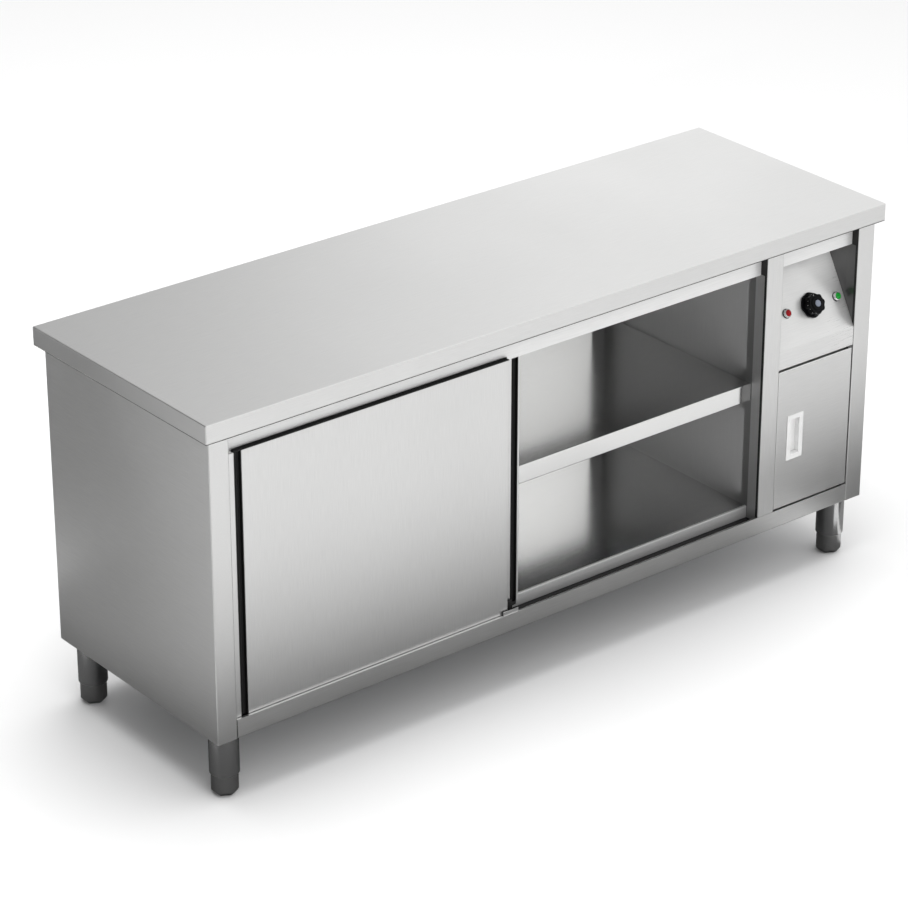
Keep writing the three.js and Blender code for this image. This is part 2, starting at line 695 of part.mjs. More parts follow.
// Heating elements: sheathed tubes that run to and fro under the chamber floor
class ElementRun extends THREE.Curve {
  constructor(start, length, pitch, runs, level) {
    super();
    this.stations = [];
    const bendSteps = 6;
    for (let run = 0; run < runs; run += 1) {
      const y = start.y + run * pitch;
      const outward = run % 2 === 0;
      const near = outward ? start.x : start.x - length;
      const far = outward ? start.x - length : start.x;
      this.stations.push(new THREE.Vector3(near, y, level));
      this.stations.push(new THREE.Vector3(far, y, level));
      if (run < runs - 1) {
        const swing = outward ? -1 : 1;
        for (let step = 1; step < bendSteps; step += 1) {
          const angle = Math.PI * step / bendSteps;
          this.stations.push(new THREE.Vector3(
            far + swing * Math.sin(angle) * pitch / 2, y + pitch / 2 - Math.cos(angle) * pitch / 2, level,
          ));
        }
      }
    }
  }

  getPoint(t, target = new THREE.Vector3()) {
    const last = this.stations.length - 1;
    const i = Math.min(Math.floor(t * last), last - 1);
    return target.lerpVectors(this.stations[i], this.stations[i + 1], t * last - i);
  }

  getPointAt(u, target) {
    return this.getPoint(u, target);
  }

  getTangentAt(u, target = new THREE.Vector3()) {
    const last = this.stations.length - 1;
    const i = Math.round(u * last);
    const ahead = this.stations[Math.min(i + 1, last)];
    const behind = this.stations[Math.max(i - 1, 0)];
    return target.subVectors(ahead, behind).normalize();
  }
}

const elementRadius = 4;
const elementLevel = floorTop - SHEET - elementRadius;
const elementRuns = 4;
const elementPitch = (chamberBack - chamberFront) / (elementRuns * 2);
const elementLength = chamberRight - chamberLeft - SHELF_LIP * 2 - elementPitch;
const elementSection = new THREE.Shape();
elementSection.absarc(0, 0, elementRadius, 0, Math.PI * 2, false);
[0, 1].map((i) => chamberFront + elementPitch * (elementRuns * i + 1 / 2)).forEach((y, i) => {
  const start = new THREE.Vector3(chamberRight - SHELF_LIP, y, elementLevel);
  const run = new ElementRun(start, elementLength, elementPitch, elementRuns, elementLevel);
  const geometry = new THREE.ExtrudeGeometry(elementSection, {
    steps: run.stations.length - 1, extrudePath: run, curveSegments: 4, bevelEnabled: false,
  });
  place(geometry, `heating_element_${i + 1}`, ELEMENT_SHEATH);
});

// Control panel: short upright foot, then a face that leans back under the bay rail
const panelFace = bodyFront + PANEL_SETBACK;
const redLampX = bayLeft + BAY_WIDTH * bay_shares.redLamp;
const knobX = bayLeft + BAY_WIDTH * bay_shares.knob;
const greenLampX = bayLeft + BAY_WIDTH * bay_shares.greenLamp;
const panelRun = panelTop - panelBreak;
const panelFoot = panelBreak - panelBottom;
const panelTopY = panelFace + Math.tan(PANEL_SLOPE) * panelRun;
const controls = new THREE.Group();
controls.position.set(0, panelFace + SHEET / 2, panelBreak);
controls.rotation.x = Math.PI / 2 - PANEL_SLOPE;
const slopeHole = (x, radius) => {
  const tool = new THREE.CylinderGeometry(radius, radius, panelFoot, ROUND_SEGMENTS);
  tool.rotateX(Math.PI / 2);
  tool.translate(x, KNOB_ALONG_SLOPE, 0);
  tool.rotateX(controls.rotation.x);
  tool.translate(0, controls.position.y, controls.position.z);
  return tool;
};
const barrelRadius = LAMP_RADIUS * 0.75;
const shaftRadius = PIVOT_RADIUS;
place(
  cut(
    alongX(bentSheet([
      [panelFace + WALL / 2, panelBottom + SHEET / 2],
      [panelFace + SHEET / 2, panelBottom + SHEET / 2],
      [panelFace + SHEET / 2, panelBreak],
      [panelTopY + SHEET / 2, panelTop],
      [panelTopY + WALL / 2, panelTop],
    ]), bayLeft, bayRight),
    slopeHole(redLampX, barrelRadius + CLEARANCE),
    slopeHole(greenLampX, barrelRadius + CLEARANCE),
    slopeHole(knobX, shaftRadius + CLEARANCE * 2),
  ),
  'control_panel', STEEL,
);

// Pilot lamps: a bezel with its barrel through the panel and a domed lens in it
const faceHeight = SHEET / 2 + CLEARANCE;
const bezelHeight = LAMP_BEZEL;
const bezelChamfer = LAMP_RADIUS / 8;
const barrelDepth = LAMP_RADIUS * 2.5;
const lensRadius = LAMP_RADIUS * 0.74;
function pilotLamp(x, label, lensMaterial) {
  const bezelProfile = [
    [0, -barrelDepth], [barrelRadius, -barrelDepth], [barrelRadius, faceHeight],
    [LAMP_RADIUS, faceHeight], [LAMP_RADIUS, faceHeight + bezelHeight - bezelChamfer],
    [LAMP_RADIUS - bezelChamfer, faceHeight + bezelHeight],
    [lensRadius + CLEARANCE, faceHeight + bezelHeight],
    [lensRadius + CLEARANCE, faceHeight], [0, faceHeight],
  ].map(([r, z]) => new THREE.Vector2(r, z));
  const bezel = new THREE.LatheGeometry(bezelProfile, ROUND_SEGMENTS);
  const lensProfile = [[0, 0], [lensRadius, 0], [lensRadius, bezelHeight]];
  const domeSteps = 4;
  for (let step = 1; step <= domeSteps; step += 1) {
    const angle = Math.PI / 2 * step / domeSteps;
    lensProfile.push([
      lensRadius * Math.cos(angle), bezelHeight + LAMP_DOME * Math.sin(angle),
    ]);
  }
  lensProfile[lensProfile.length - 1][0] = 0;
  const lens = new THREE.LatheGeometry(
    lensProfile.map(([r, z]) => new THREE.Vector2(r, faceHeight + CLEARANCE + z)), ROUND_SEGMENTS,
  );
  [[bezel, `pilot_bezel_${label}`, DARK_STEEL], [lens, `pilot_lens_${label}`, lensMaterial]]
    .forEach(([geometry, name, material]) => {
      geometry.rotateX(Math.PI / 2);
      const mesh = place(geometry, name, material, controls);
      mesh.position.set(x, KNOB_ALONG_SLOPE, 0);
    });
}
pilotLamp(redLampX, 'red', RED_LENS);
pilotLamp(greenLampX, 'green', GREEN_LENS);

// Thermostat behind the panel, with its shaft through it
const thermostatSize = WALL;
const thermostatDepth = WALL * 0.75;
const shaftLength = KNOB_HEIGHT / 2;
const thermostatBody = join(
  block(
    -thermostatSize / 2, thermostatSize / 2, -thermostatSize / 2, thermostatSize / 2,
    -thermostatDepth, -SHEET / 2 - CLEARANCE,
  ),
  new THREE.CylinderGeometry(shaftRadius, shaftRadius, shaftLength + SHEET * 2, ROLLER_SEGMENTS)
    .rotateX(Math.PI / 2)
    .translate(0, 0, shaftLength / 2 - SHEET),
);
const thermostat = place(thermostatBody, 'thermostat_body', BLACK_PLASTIC, controls);
thermostat.position.set(knobX, KNOB_ALONG_SLOPE, 0);

// Thermostat knob: a dial skirt and a lobed grip with a round cap
const knobBase = faceHeight + SHEET;
const skirtHeight = SHEET * 2;
const gripBase = knobBase + skirtHeight;
function lobedSection(radius, depth) {
  const steps = KNOB_LOBES * 6;
  const points = [];
  for (let i = 0; i < steps; i += 1) {
    const angle = Math.PI * 2 * i / steps;
    const r = radius - depth / 2 + depth / 2 * Math.cos(angle * KNOB_LOBES);
    points.push(new THREE.Vector2(r * Math.cos(angle), r * Math.sin(angle)));
  }
  return new THREE.Shape(points);
}
const knobDepth = KNOB_HEIGHT - skirtHeight;
const capRadius = KNOB_GRIP_RADIUS / 2.6;
const knobGeometry = cut(
  join(
    alongZ(lobedSection(KNOB_SKIRT_RADIUS, SHEET), knobBase, gripBase),
    alongZ(lobedSection(KNOB_GRIP_RADIUS, SHEET * 2), gripBase, knobBase + knobDepth),
    new THREE.CylinderGeometry(KNOB_GRIP_RADIUS - SHEET * 4, KNOB_GRIP_RADIUS - SHEET * 2,
      skirtHeight, ROUND_SEGMENTS)
      .rotateX(Math.PI / 2)
      .translate(0, 0, knobBase + knobDepth + skirtHeight / 2),
    new THREE.CylinderGeometry(capRadius, capRadius, SHEET * 3, ROUND_SEGMENTS)
      .rotateX(Math.PI / 2)
      .translate(0, 0, knobBase + KNOB_HEIGHT - SHEET / 2),
  ),
  new THREE.CylinderGeometry(shaftRadius + CLEARANCE, shaftRadius + CLEARANCE, shaftLength * 2 + SHEET,
    ROLLER_SEGMENTS).rotateX(Math.PI / 2),
);
const knob = place(knobGeometry, 'thermostat_knob', BLACK_PLASTIC, controls);
knob.position.set(knobX, KNOB_ALONG_SLOPE, 0);
cupboard.add(controls);

// Terminal block on the rear of the bay's inner wall
const terminalLength = WALL * 2;
const terminalDepth = WALL / 2;
const terminalGeometry = [0, 1, 2, 3, 4].reduce(
  (geometry, i) => {
    const pitch = terminalLength / 5;
    const y = chamberBack - terminalLength + i * pitch + pitch / 2;
    return cut(geometry, block(
      bayRight - terminalDepth - SHEET, bayRight - terminalDepth / 2, y - pitch / 4, y + pitch / 4,
      floorTop + pitch, floorTop + terminalLength,
    ));
  },
  block(
    bayRight - terminalDepth, bayRight, chamberBack - terminalLength, chamberBack,
    floorTop, floorTop + terminalDepth * 1.5,
  ),
);
place(terminalGeometry, 'terminal_block', WHITE_PLASTIC);

// Service door: an outer tray, an inner pan, a recessed pull and two fixed pivots
const serviceLeft = bayLeft + SERVICE_GAP_LEFT;
const serviceRight = bayRight - SERVICE_GAP_RIGHT;
const serviceWidth = serviceRight - serviceLeft;
const serviceHeight = serviceTop - serviceBottom;
const serviceFace = bodyFront + SERVICE_SETBACK;
const pivotX = serviceRight - PIVOT_INSET;
const pivotY = serviceFace + PIVOT_SETBACK;
const serviceDoor = new THREE.Group();
serviceDoor.position.set(serviceLeft, serviceFace, serviceBottom);
cupboard.add(serviceDoor);
const pivotHole = new THREE.CylinderGeometry(
  PIVOT_RADIUS + CLEARANCE, PIVOT_RADIUS + CLEARANCE, serviceHeight * 2, ROLLER_SEGMENTS,
).rotateX(Math.PI / 2).translate(pivotX - serviceLeft, PIVOT_SETBACK, serviceHeight / 2);
const cupClear = SHEET;
const handleMiddle = HANDLE_LEFT + HANDLE_WIDTH / 2 - SERVICE_GAP_LEFT;
const handleTop = (serviceHeight + HANDLE_HEIGHT) / 2;
const cupLeft = handleMiddle - HANDLE_CUP_WIDTH / 2 - cupClear;
const cupRight = handleMiddle + HANDLE_CUP_WIDTH / 2 + cupClear;
const cupTop = handleTop - (HANDLE_HEIGHT - HANDLE_CUP_HEIGHT) / 2 + cupClear;
const cupBottom = handleTop - (HANDLE_HEIGHT + HANDLE_CUP_HEIGHT) / 2 - cupClear;
place(
  cut(
    block(0, serviceWidth, 0, SERVICE_DEPTH, 0, serviceHeight),
    block(SHEET, serviceWidth - SHEET, SHEET, SERVICE_DEPTH + SHEET, SHEET, serviceHeight - SHEET),
    block(
      cupLeft - CLEARANCE, cupRight + CLEARANCE, -SHEET, SHEET * 2,
      cupBottom - CLEARANCE, cupTop + CLEARANCE,
    ),
    pivotHole,
  ),
  'service_door_skin', STEEL, serviceDoor,
);
const panDepth = HANDLE_CUP_DEPTH + SHEET * 2;
place(
  alongX(bentSheet([
    [panDepth - SHEET * 4, serviceHeight - SHEET * 1.5],
    [panDepth, serviceHeight - SHEET * 1.5],
    [panDepth, SHEET * 1.5],
    [panDepth - SHEET * 4, SHEET * 1.5],
  ]), SHEET * 2, serviceWidth - PIVOT_INSET * 2 - SHEET),
  'service_door_pan', INNER_STEEL, serviceDoor,
);
place(
  cut(
    join(
      block(
        handleMiddle - HANDLE_WIDTH / 2, handleMiddle + HANDLE_WIDTH / 2, -SHEET, 0,
        handleTop - HANDLE_HEIGHT, handleTop,
      ),
      block(cupLeft, cupRight, -SHEET / 2, HANDLE_CUP_DEPTH + SHEET / 2, cupBottom, cupTop),
    ),
    block(
      cupLeft + cupClear, cupRight - cupClear, -SHEET * 2, HANDLE_CUP_DEPTH - SHEET / 2,
      cupBottom + cupClear, cupTop - cupClear,
    ),
  ),
  'service_door_pull', WHITE_PLASTIC, serviceDoor,
);
function pivot(plateBottom, plateTop, pinBottom, pinTop) {
  return join(
    block(
      pivotX - PIVOT_INSET, bayRight, bodyFront + SHEET, panelFace + WALL / 2, plateBottom, plateTop,
    ),
    new THREE.CylinderGeometry(PIVOT_RADIUS, PIVOT_RADIUS, pinTop - pinBottom, ROLLER_SEGMENTS)
      .rotateX(Math.PI / 2)
      .translate(pivotX, pivotY, (pinTop + pinBottom) / 2),
  );
}
const pinReach = PIVOT_RADIUS * 3;
place(
  pivot(serviceTop + SHEET, panelBottom, serviceTop - pinReach, panelBottom - SHEET),
  'service_pivot_top', GALVANISED,
);
place(
  pivot(lipTop - SHEET, serviceBottom - SHEET, lipTop, serviceBottom + pinReach),
  'service_pivot_bottom', GALVANISED,
);
const catchDepth = WALL / 2;
const catchLevel = (serviceTop + serviceBottom) / 2;
place(
  block(
    bayLeft, bayLeft + catchDepth, serviceFace + SERVICE_DEPTH + CLEARANCE,
    serviceFace + SERVICE_DEPTH + catchDepth, catchLevel, catchLevel + WALL,
  ),
  'service_door_catch', WHITE_PLASTIC,
);

// Legs: a tube with a rolled end, a fixing plate and a plug that takes the spindle
const legPositions = [
  [-LENGTH / 2 + LEG_SIDE_INSET, -DEPTH / 2 + LEG_FRONT_INSET],
  [LENGTH / 2 - LEG_SIDE_INSET, -DEPTH / 2 + LEG_FRONT_INSET],
  [-LENGTH / 2 + LEG_SIDE_INSET, DEPTH / 2 - LEG_BACK_INSET],
  [LENGTH / 2 - LEG_SIDE_INSET, DEPTH / 2 - LEG_BACK_INSET],
];
const boreRadius = SPINDLE_RADIUS + CLEARANCE;
const legProfile = [
  [boreRadius, LEG_BOTTOM],
  [LEG_RADIUS - LEG_WALL / 2, LEG_BOTTOM],
  [LEG_RADIUS, LEG_BOTTOM + LEG_WALL],
  [LEG_RADIUS, BODY_UNDERSIDE - LEG_PLATE_GAUGE],
  [LEG_RADIUS - LEG_WALL, BODY_UNDERSIDE - LEG_PLATE_GAUGE],
  [LEG_RADIUS - LEG_WALL, LEG_BOTTOM + LEG_RADIUS],
  [boreRadius, LEG_BOTTOM + LEG_RADIUS],
  [boreRadius, LEG_BOTTOM],
].map(([r, z]) => new THREE.Vector2(r, z));
const footShoulder = FOOT_FLAT / 2;
const footProfile = [
  [0, 0],
  [FOOT_RADIUS, 0],
  [FOOT_RADIUS, LEG_BOTTOM - CLEARANCE],
  [SPINDLE_RADIUS, LEG_BOTTOM - CLEARANCE],
  [SPINDLE_RADIUS, spindleTop - SHEET],
  [SPINDLE_RADIUS - SHEET, spindleTop],
  [0, spindleTop],
].map(([r, z]) => new THREE.Vector2(r, z));
legPositions.forEach(([x, y], i) => {
  const tube = new THREE.LatheGeometry(legProfile, ROUND_SEGMENTS).rotateX(Math.PI / 2);
  const plate = block(
    -LEG_PLATE / 2, LEG_PLATE / 2, -LEG_PLATE / 2, LEG_PLATE / 2,
    BODY_UNDERSIDE - LEG_PLATE_GAUGE, BODY_UNDERSIDE,
  );
  const leg = place(join(tube, plate), `leg_${i + 1}`, STEEL);
  leg.position.set(x, y, 0);
  const round = new THREE.LatheGeometry(footProfile, ROUND_SEGMENTS).rotateX(Math.PI / 2);
  const hexagon = new THREE.CylinderGeometry(
    (FOOT_FLAT + spindleTop) * hexSpread, FOOT_FLAT * hexSpread, spindleTop, 6,
  ).rotateX(Math.PI / 2).translate(0, 0, spindleTop / 2);
  const foot = place(
    toGeometry(toSolid(round).intersect(toSolid(hexagon))), `foot_${i + 1}`, DARK_STEEL,
  );
  foot.position.set(x, y, 0);
});

export default cupboard;
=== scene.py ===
"""Hot cupboard with a worktop, two sliding doors and a control bay: the dressed model.

Metres, +Z up, the front faces -Y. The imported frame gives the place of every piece.
"""

import logging
import math
from contextlib import contextmanager
from dataclasses import dataclass
from enum import Enum
from typing import Callable, Iterator, Sequence

import bmesh
import bpy
from mathutils import Matrix, Vector


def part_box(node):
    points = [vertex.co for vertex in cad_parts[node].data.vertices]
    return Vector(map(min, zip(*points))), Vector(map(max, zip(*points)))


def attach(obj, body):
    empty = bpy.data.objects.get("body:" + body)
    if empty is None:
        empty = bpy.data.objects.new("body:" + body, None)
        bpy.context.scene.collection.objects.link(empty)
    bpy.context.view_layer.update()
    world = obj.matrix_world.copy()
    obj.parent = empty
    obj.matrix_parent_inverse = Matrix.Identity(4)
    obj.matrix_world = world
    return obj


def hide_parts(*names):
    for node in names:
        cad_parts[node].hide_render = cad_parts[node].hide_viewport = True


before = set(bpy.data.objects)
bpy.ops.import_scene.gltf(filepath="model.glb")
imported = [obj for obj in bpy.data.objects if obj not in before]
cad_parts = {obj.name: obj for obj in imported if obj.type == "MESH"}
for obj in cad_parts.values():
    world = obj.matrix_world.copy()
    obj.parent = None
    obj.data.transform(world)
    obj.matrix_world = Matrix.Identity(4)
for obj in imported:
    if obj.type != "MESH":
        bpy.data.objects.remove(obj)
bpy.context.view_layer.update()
LOG = logging.getLogger("hot_cupboard")

MM = 0.001
SHEET = 1.5 * MM
HALF = SHEET / 2
BEND = 2.25 * MM
RIM = 0.25 * MM
SLIVER = 0.05 * MM
SQUARE_ON = 0.9  # least cosine between a face's normal and the way it is said to look
Flat = tuple[float, float]
Place = tuple[float, float, float]
Piece = bpy.types.Object
Socket = bpy.types.NodeSocket
Inputs = dict[str | int, object]


class Axis(Enum):
    """The axis that a folded section runs along, with the rows that turn it there."""

    X = ((0, 0, 1), (1, 0, 0), (0, 1, 0))
    Z = ((1, 0, 0), (0, 1, 0), (0, 0, 1))

    def matrix(self) -> Matrix:
        """Turns section coordinates (u, v, run) into the frame's axes."""
        return Matrix(self.value).to_4x4()


class Grain(Enum):
    """How far a finish's marks are drawn out along each axis."""

    ALONG_X = (1.0, 60.0, 60.0)
    ALONG_Y = (60.0, 1.0, 60.0)
    ALONG_Z = (60.0, 60.0, 1.0)
    EVEN = (20.0, 20.0, 20.0)


# Modelling helpers


def clear_selection() -> None:
    """Leaves edit mode and deselects every object."""
    active = bpy.context.view_layer.objects.active
    if active is not None and active.mode != "OBJECT":
        bpy.ops.object.mode_set(mode="OBJECT")
    for other in bpy.context.selected_objects:
        other.select_set(False)


def only(piece: Piece) -> None:
    """Selects one piece alone and makes it active.

    Args:
        piece: The piece.
    """
    clear_selection()
    piece.select_set(True)
    bpy.context.view_layer.objects.active = piece


@contextmanager
def editing(piece: Piece, whole: bool = False) -> Iterator[None]:
    """Opens a piece in edit mode, and closes it again.

    Args:
        piece: The mesh object to shape.
        whole: Whether all of it is selected at the start, or nothing.
    """
    only(piece)
    bpy.ops.object.mode_set(mode="EDIT")
    bpy.ops.mesh.select_mode(type="VERT")
    bpy.ops.mesh.select_all(action="SELECT" if whole else "DESELECT")
    yield
    bpy.ops.object.mode_set(mode="OBJECT")


def pick(piece: Piece, part: str, test: Callable[..., bool]) -> None:
    """Selects the vertices, edges or faces that pass a test, in edit mode.

    Args:
        piece: The object that is being edited.
        part: "verts", "edges" or "faces".
        test: Says of each element whether it is wanted.
    """
    bpy.ops.mesh.select_mode(type={"verts": "VERT", "edges": "EDGE", "faces": "FACE"}[part])
    bpy.ops.mesh.select_all(action="DESELECT")
    mesh = bmesh.from_edit_mesh(piece.data)
    for element in [element for element in getattr(mesh, part) if test(element)]:
        element.select_set(True)
    bmesh.update_edit_mesh(piece.data)


def extrude(x: float, y: float, z: float) -> None:
    """Extrudes the selected faces by a step along each axis."""
    bpy.ops.mesh.extrude_region_move(TRANSFORM_OT_translate={"value": (x, y, z)})


def apply_modifier(piece: Piece, kind: str, **settings: object) -> None:
    """Adds a modifier with its settings and applies it.

    Args:
        piece: The object to change.
        kind: Blender's name for the type of modifier.
        **settings: Values for the modifier.
    """
    only(piece)
    modifier = piece.modifiers.new(kind.title(), kind)
    for key, value in settings.items():
        setattr(modifier, key, value)
    bpy.ops.object.modifier_apply(modifier=modifier.name)


def make_outward(piece: Piece) -> None:
    """Merges doubles and points every face outward.

    Args:
        piece: The object to mend.
    """
    with editing(piece, whole=True):
        bpy.ops.mesh.remove_doubles(threshold=SLIVER / 5)
        bpy.ops.mesh.normals_make_consistent(inside=False)


def fix(piece: Piece, matrix: Matrix | None = None) -> None:
    """Moves a piece and writes its place, turn and size into its mesh.

    Args:
        piece: The piece.
        matrix: Where it goes, if it isn't there yet.
    """
    if matrix is not None:
        piece.matrix_world = matrix
    only(piece)
    bpy.ops.object.transform_apply(location=True, rotation=True, scale=True)


def label(piece: Piece, name: str) -> None:
    """Gives a piece and its mesh one name."""
    piece.name = piece.data.name = name


def settle(piece: Piece, name: str, matrix: Matrix | None = None, angle: float = 32.0) -> Piece:
    """Puts a piece in its place, in its mesh, and smooths its bends.

    Args:
        piece: The object, shaped round its own origin.
        name: The piece's name.
        matrix: Where it goes, if it isn't there yet.
        angle: The widest angle, in degrees, that is smoothed over.

    Returns:
        The same object.
    """
    fix(piece, matrix)
    label(piece, name)
    bpy.ops.object.shade_smooth_by_angle(angle=math.radians(angle))
    apply_modifier(piece, "WEIGHTED_NORMAL", keep_sharp=True, weight=80)
    return piece


def soften(piece: Piece, width: float, steps: int = 2, limit: float = 50.0) -> Piece:
    """Rounds the edges that are sharper than a limit.

    Args:
        piece: The object to change.
        width: Width of the rounding.
        steps: Faces across the rounding.
        limit: Least angle, in degrees, of an edge that is rounded.

    Returns:
        The same object.
    """
    apply_modifier(piece, "BEVEL", width=width, segments=steps, limit_method="ANGLE",
                   angle_limit=math.radians(limit), use_clamp_overlap=True)
    return piece


def draw_wire(points: Sequence[Place]) -> Piece:
    """Draws a chain of edges through points.

    Args:
        points: The points in order.

    Returns:
        The chain.
    """
    clear_selection()
    bpy.ops.mesh.primitive_plane_add(size=MM)
    piece = bpy.context.object
    with editing(piece, whole=True):
        bpy.ops.mesh.merge(type="CENTER")
        bpy.ops.transform.translate(value=points[0])
        for here, there in zip(points, points[1:]):
            step = tuple(after - before for before, after in zip(here, there))
            bpy.ops.mesh.extrude_vertices_move(TRANSFORM_OT_translate={"value": step})
    return piece


def fold_sheet(name: str, path: Sequence[Flat], start: float, end: float, axis: Axis,
               shape: Callable[[Piece], None] | None = None) -> Piece:
    """Folds a strip of sheet metal along a section.

    Args:
        name: The piece's name.
        path: Corners of the section's middle line, in the two axes after the run's.
        start: Where the strip starts along its run.
        end: Where it ends.
        axis: The axis that it runs along.
        shape: More work on the thick sheet before its rims are rounded.

    Returns:
        The folded piece.
    """
    piece = draw_wire([(*corner, start) for corner in path])
    with editing(piece, whole=True):
        bpy.ops.mesh.extrude_edges_move(TRANSFORM_OT_translate={"value": (0, 0, end - start)})
        if len(path) > 2:
            pick(piece, "edges", lambda edge: any(
                all(math.dist(vert.co[:2], corner) < SLIVER for vert in edge.verts)
                for corner in path[1:-1]))
            bpy.ops.mesh.bevel(offset=BEND - HALF, segments=5, offset_type="OFFSET")
    apply_modifier(piece, "SOLIDIFY", thickness=SHEET, offset=0.0, use_even_offset=True)
    make_outward(piece)
    if shape is not None:
        shape(piece)
    return settle(soften(piece, RIM), name, axis.matrix())


def block(low: Place, high: Place) -> Piece:
    """Adds a box, ready to be shaped.

    Args:
        low: Its lowest corner.
        high: Its highest corner.

    Returns:
        The box.
    """
    clear_selection()
    bpy.ops.mesh.primitive_cube_add(size=1, location=(Vector(low) + Vector(high)) / 2)
    piece = bpy.context.object
    piece.scale = Vector(high) - Vector(low)
    fix(piece)
    return piece


def cut_out(piece: Piece, cutter: Piece) -> None:
    """Cuts one solid out of a piece and throws the cutter away."""
    apply_modifier(piece, "BOOLEAN", operation="DIFFERENCE", object=cutter, solver="EXACT")
    bpy.data.objects.remove(cutter)


def tray(name: str, low: Place, high: Place, open_side: Place, gauge: float, corner: float,
         lip: float = 0.0, cutters: Sequence[Piece] = ()) -> Piece:
    """Folds a shallow tray that is open on one side.

    Args:
        name: The piece's name.
        low: Lowest corner of its outside.
        high: Highest corner.
        open_side: Direction that the open side faces.
        gauge: The sheet's thickness.
        corner: Radius of its folds.
        lip: Width of an inward return round the open side, or 0.
        cutters: Solids that are cut out of it.

    Returns:
        The tray.
    """
    piece = block(low, high)
    way = Vector(open_side)
    with editing(piece):
        pick(piece, "faces", lambda face: face.normal.dot(way) > SQUARE_ON)
        if lip:
            bpy.ops.mesh.inset(thickness=lip)
        bpy.ops.mesh.delete(type="FACE")
    soften(piece, corner, 4)
    apply_modifier(piece, "SOLIDIFY", thickness=gauge, offset=-1.0, use_even_offset=True)
    for cutter in cutters:
        cut_out(piece, cutter)
    make_outward(piece)
    return settle(soften(piece, RIM), name)


def lathe(name: str, outline: Sequence[Flat], matrix: Matrix, steps: int = 64) -> Piece:
    """Turns an outline about its own axis.

    Args:
        name: The piece's name.
        outline: Radius and height of each corner, closed on the axis or on itself.
        matrix: Where the axis stands.
        steps: Faces round the axis.

    Returns:
        The turned piece.
    """
    piece = draw_wire([(radius, 0, height) for radius, height in outline])
    with editing(piece, whole=True):
        bpy.ops.mesh.spin(steps=steps, angle=math.tau, center=(0, 0, 0), axis=(0, 0, 1))
    make_outward(piece)
    return settle(piece, name, matrix)


def middle_of(node: str) -> Vector:
    """The middle of a node's box."""
    return sum(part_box(node), Vector()) / 2


def about_z(degrees: float) -> Matrix:
    """A turn about the upright axis."""
    return Matrix.Rotation(math.radians(degrees), 4, "Z")


def facing(point: Place, direction: Place) -> Matrix:
    """A place whose +Z looks along a direction.

    Args:
        point: The place.
        direction: Where its +Z looks.

    Returns:
        The matrix of that place, with its X level.
    """
    ahead = Vector(direction).normalized()
    across = Vector((0, 0, 1)).cross(ahead).normalized()
    up = ahead.cross(across)
    return Matrix.Translation(point) @ Matrix((across, up, ahead)).transposed().to_4x4()


def join_pieces(name: str, pieces: Sequence[Piece]) -> Piece:
    """Joins separate shells into one piece.

    Args:
        name: The piece's name.
        pieces: The shells.

    Returns:
        The piece.
    """
    only(pieces[0])
    for piece in pieces[1:]:
        piece.select_set(True)
    bpy.ops.object.join()
    label(pieces[0], name)
    return pieces[0]


# Finishes


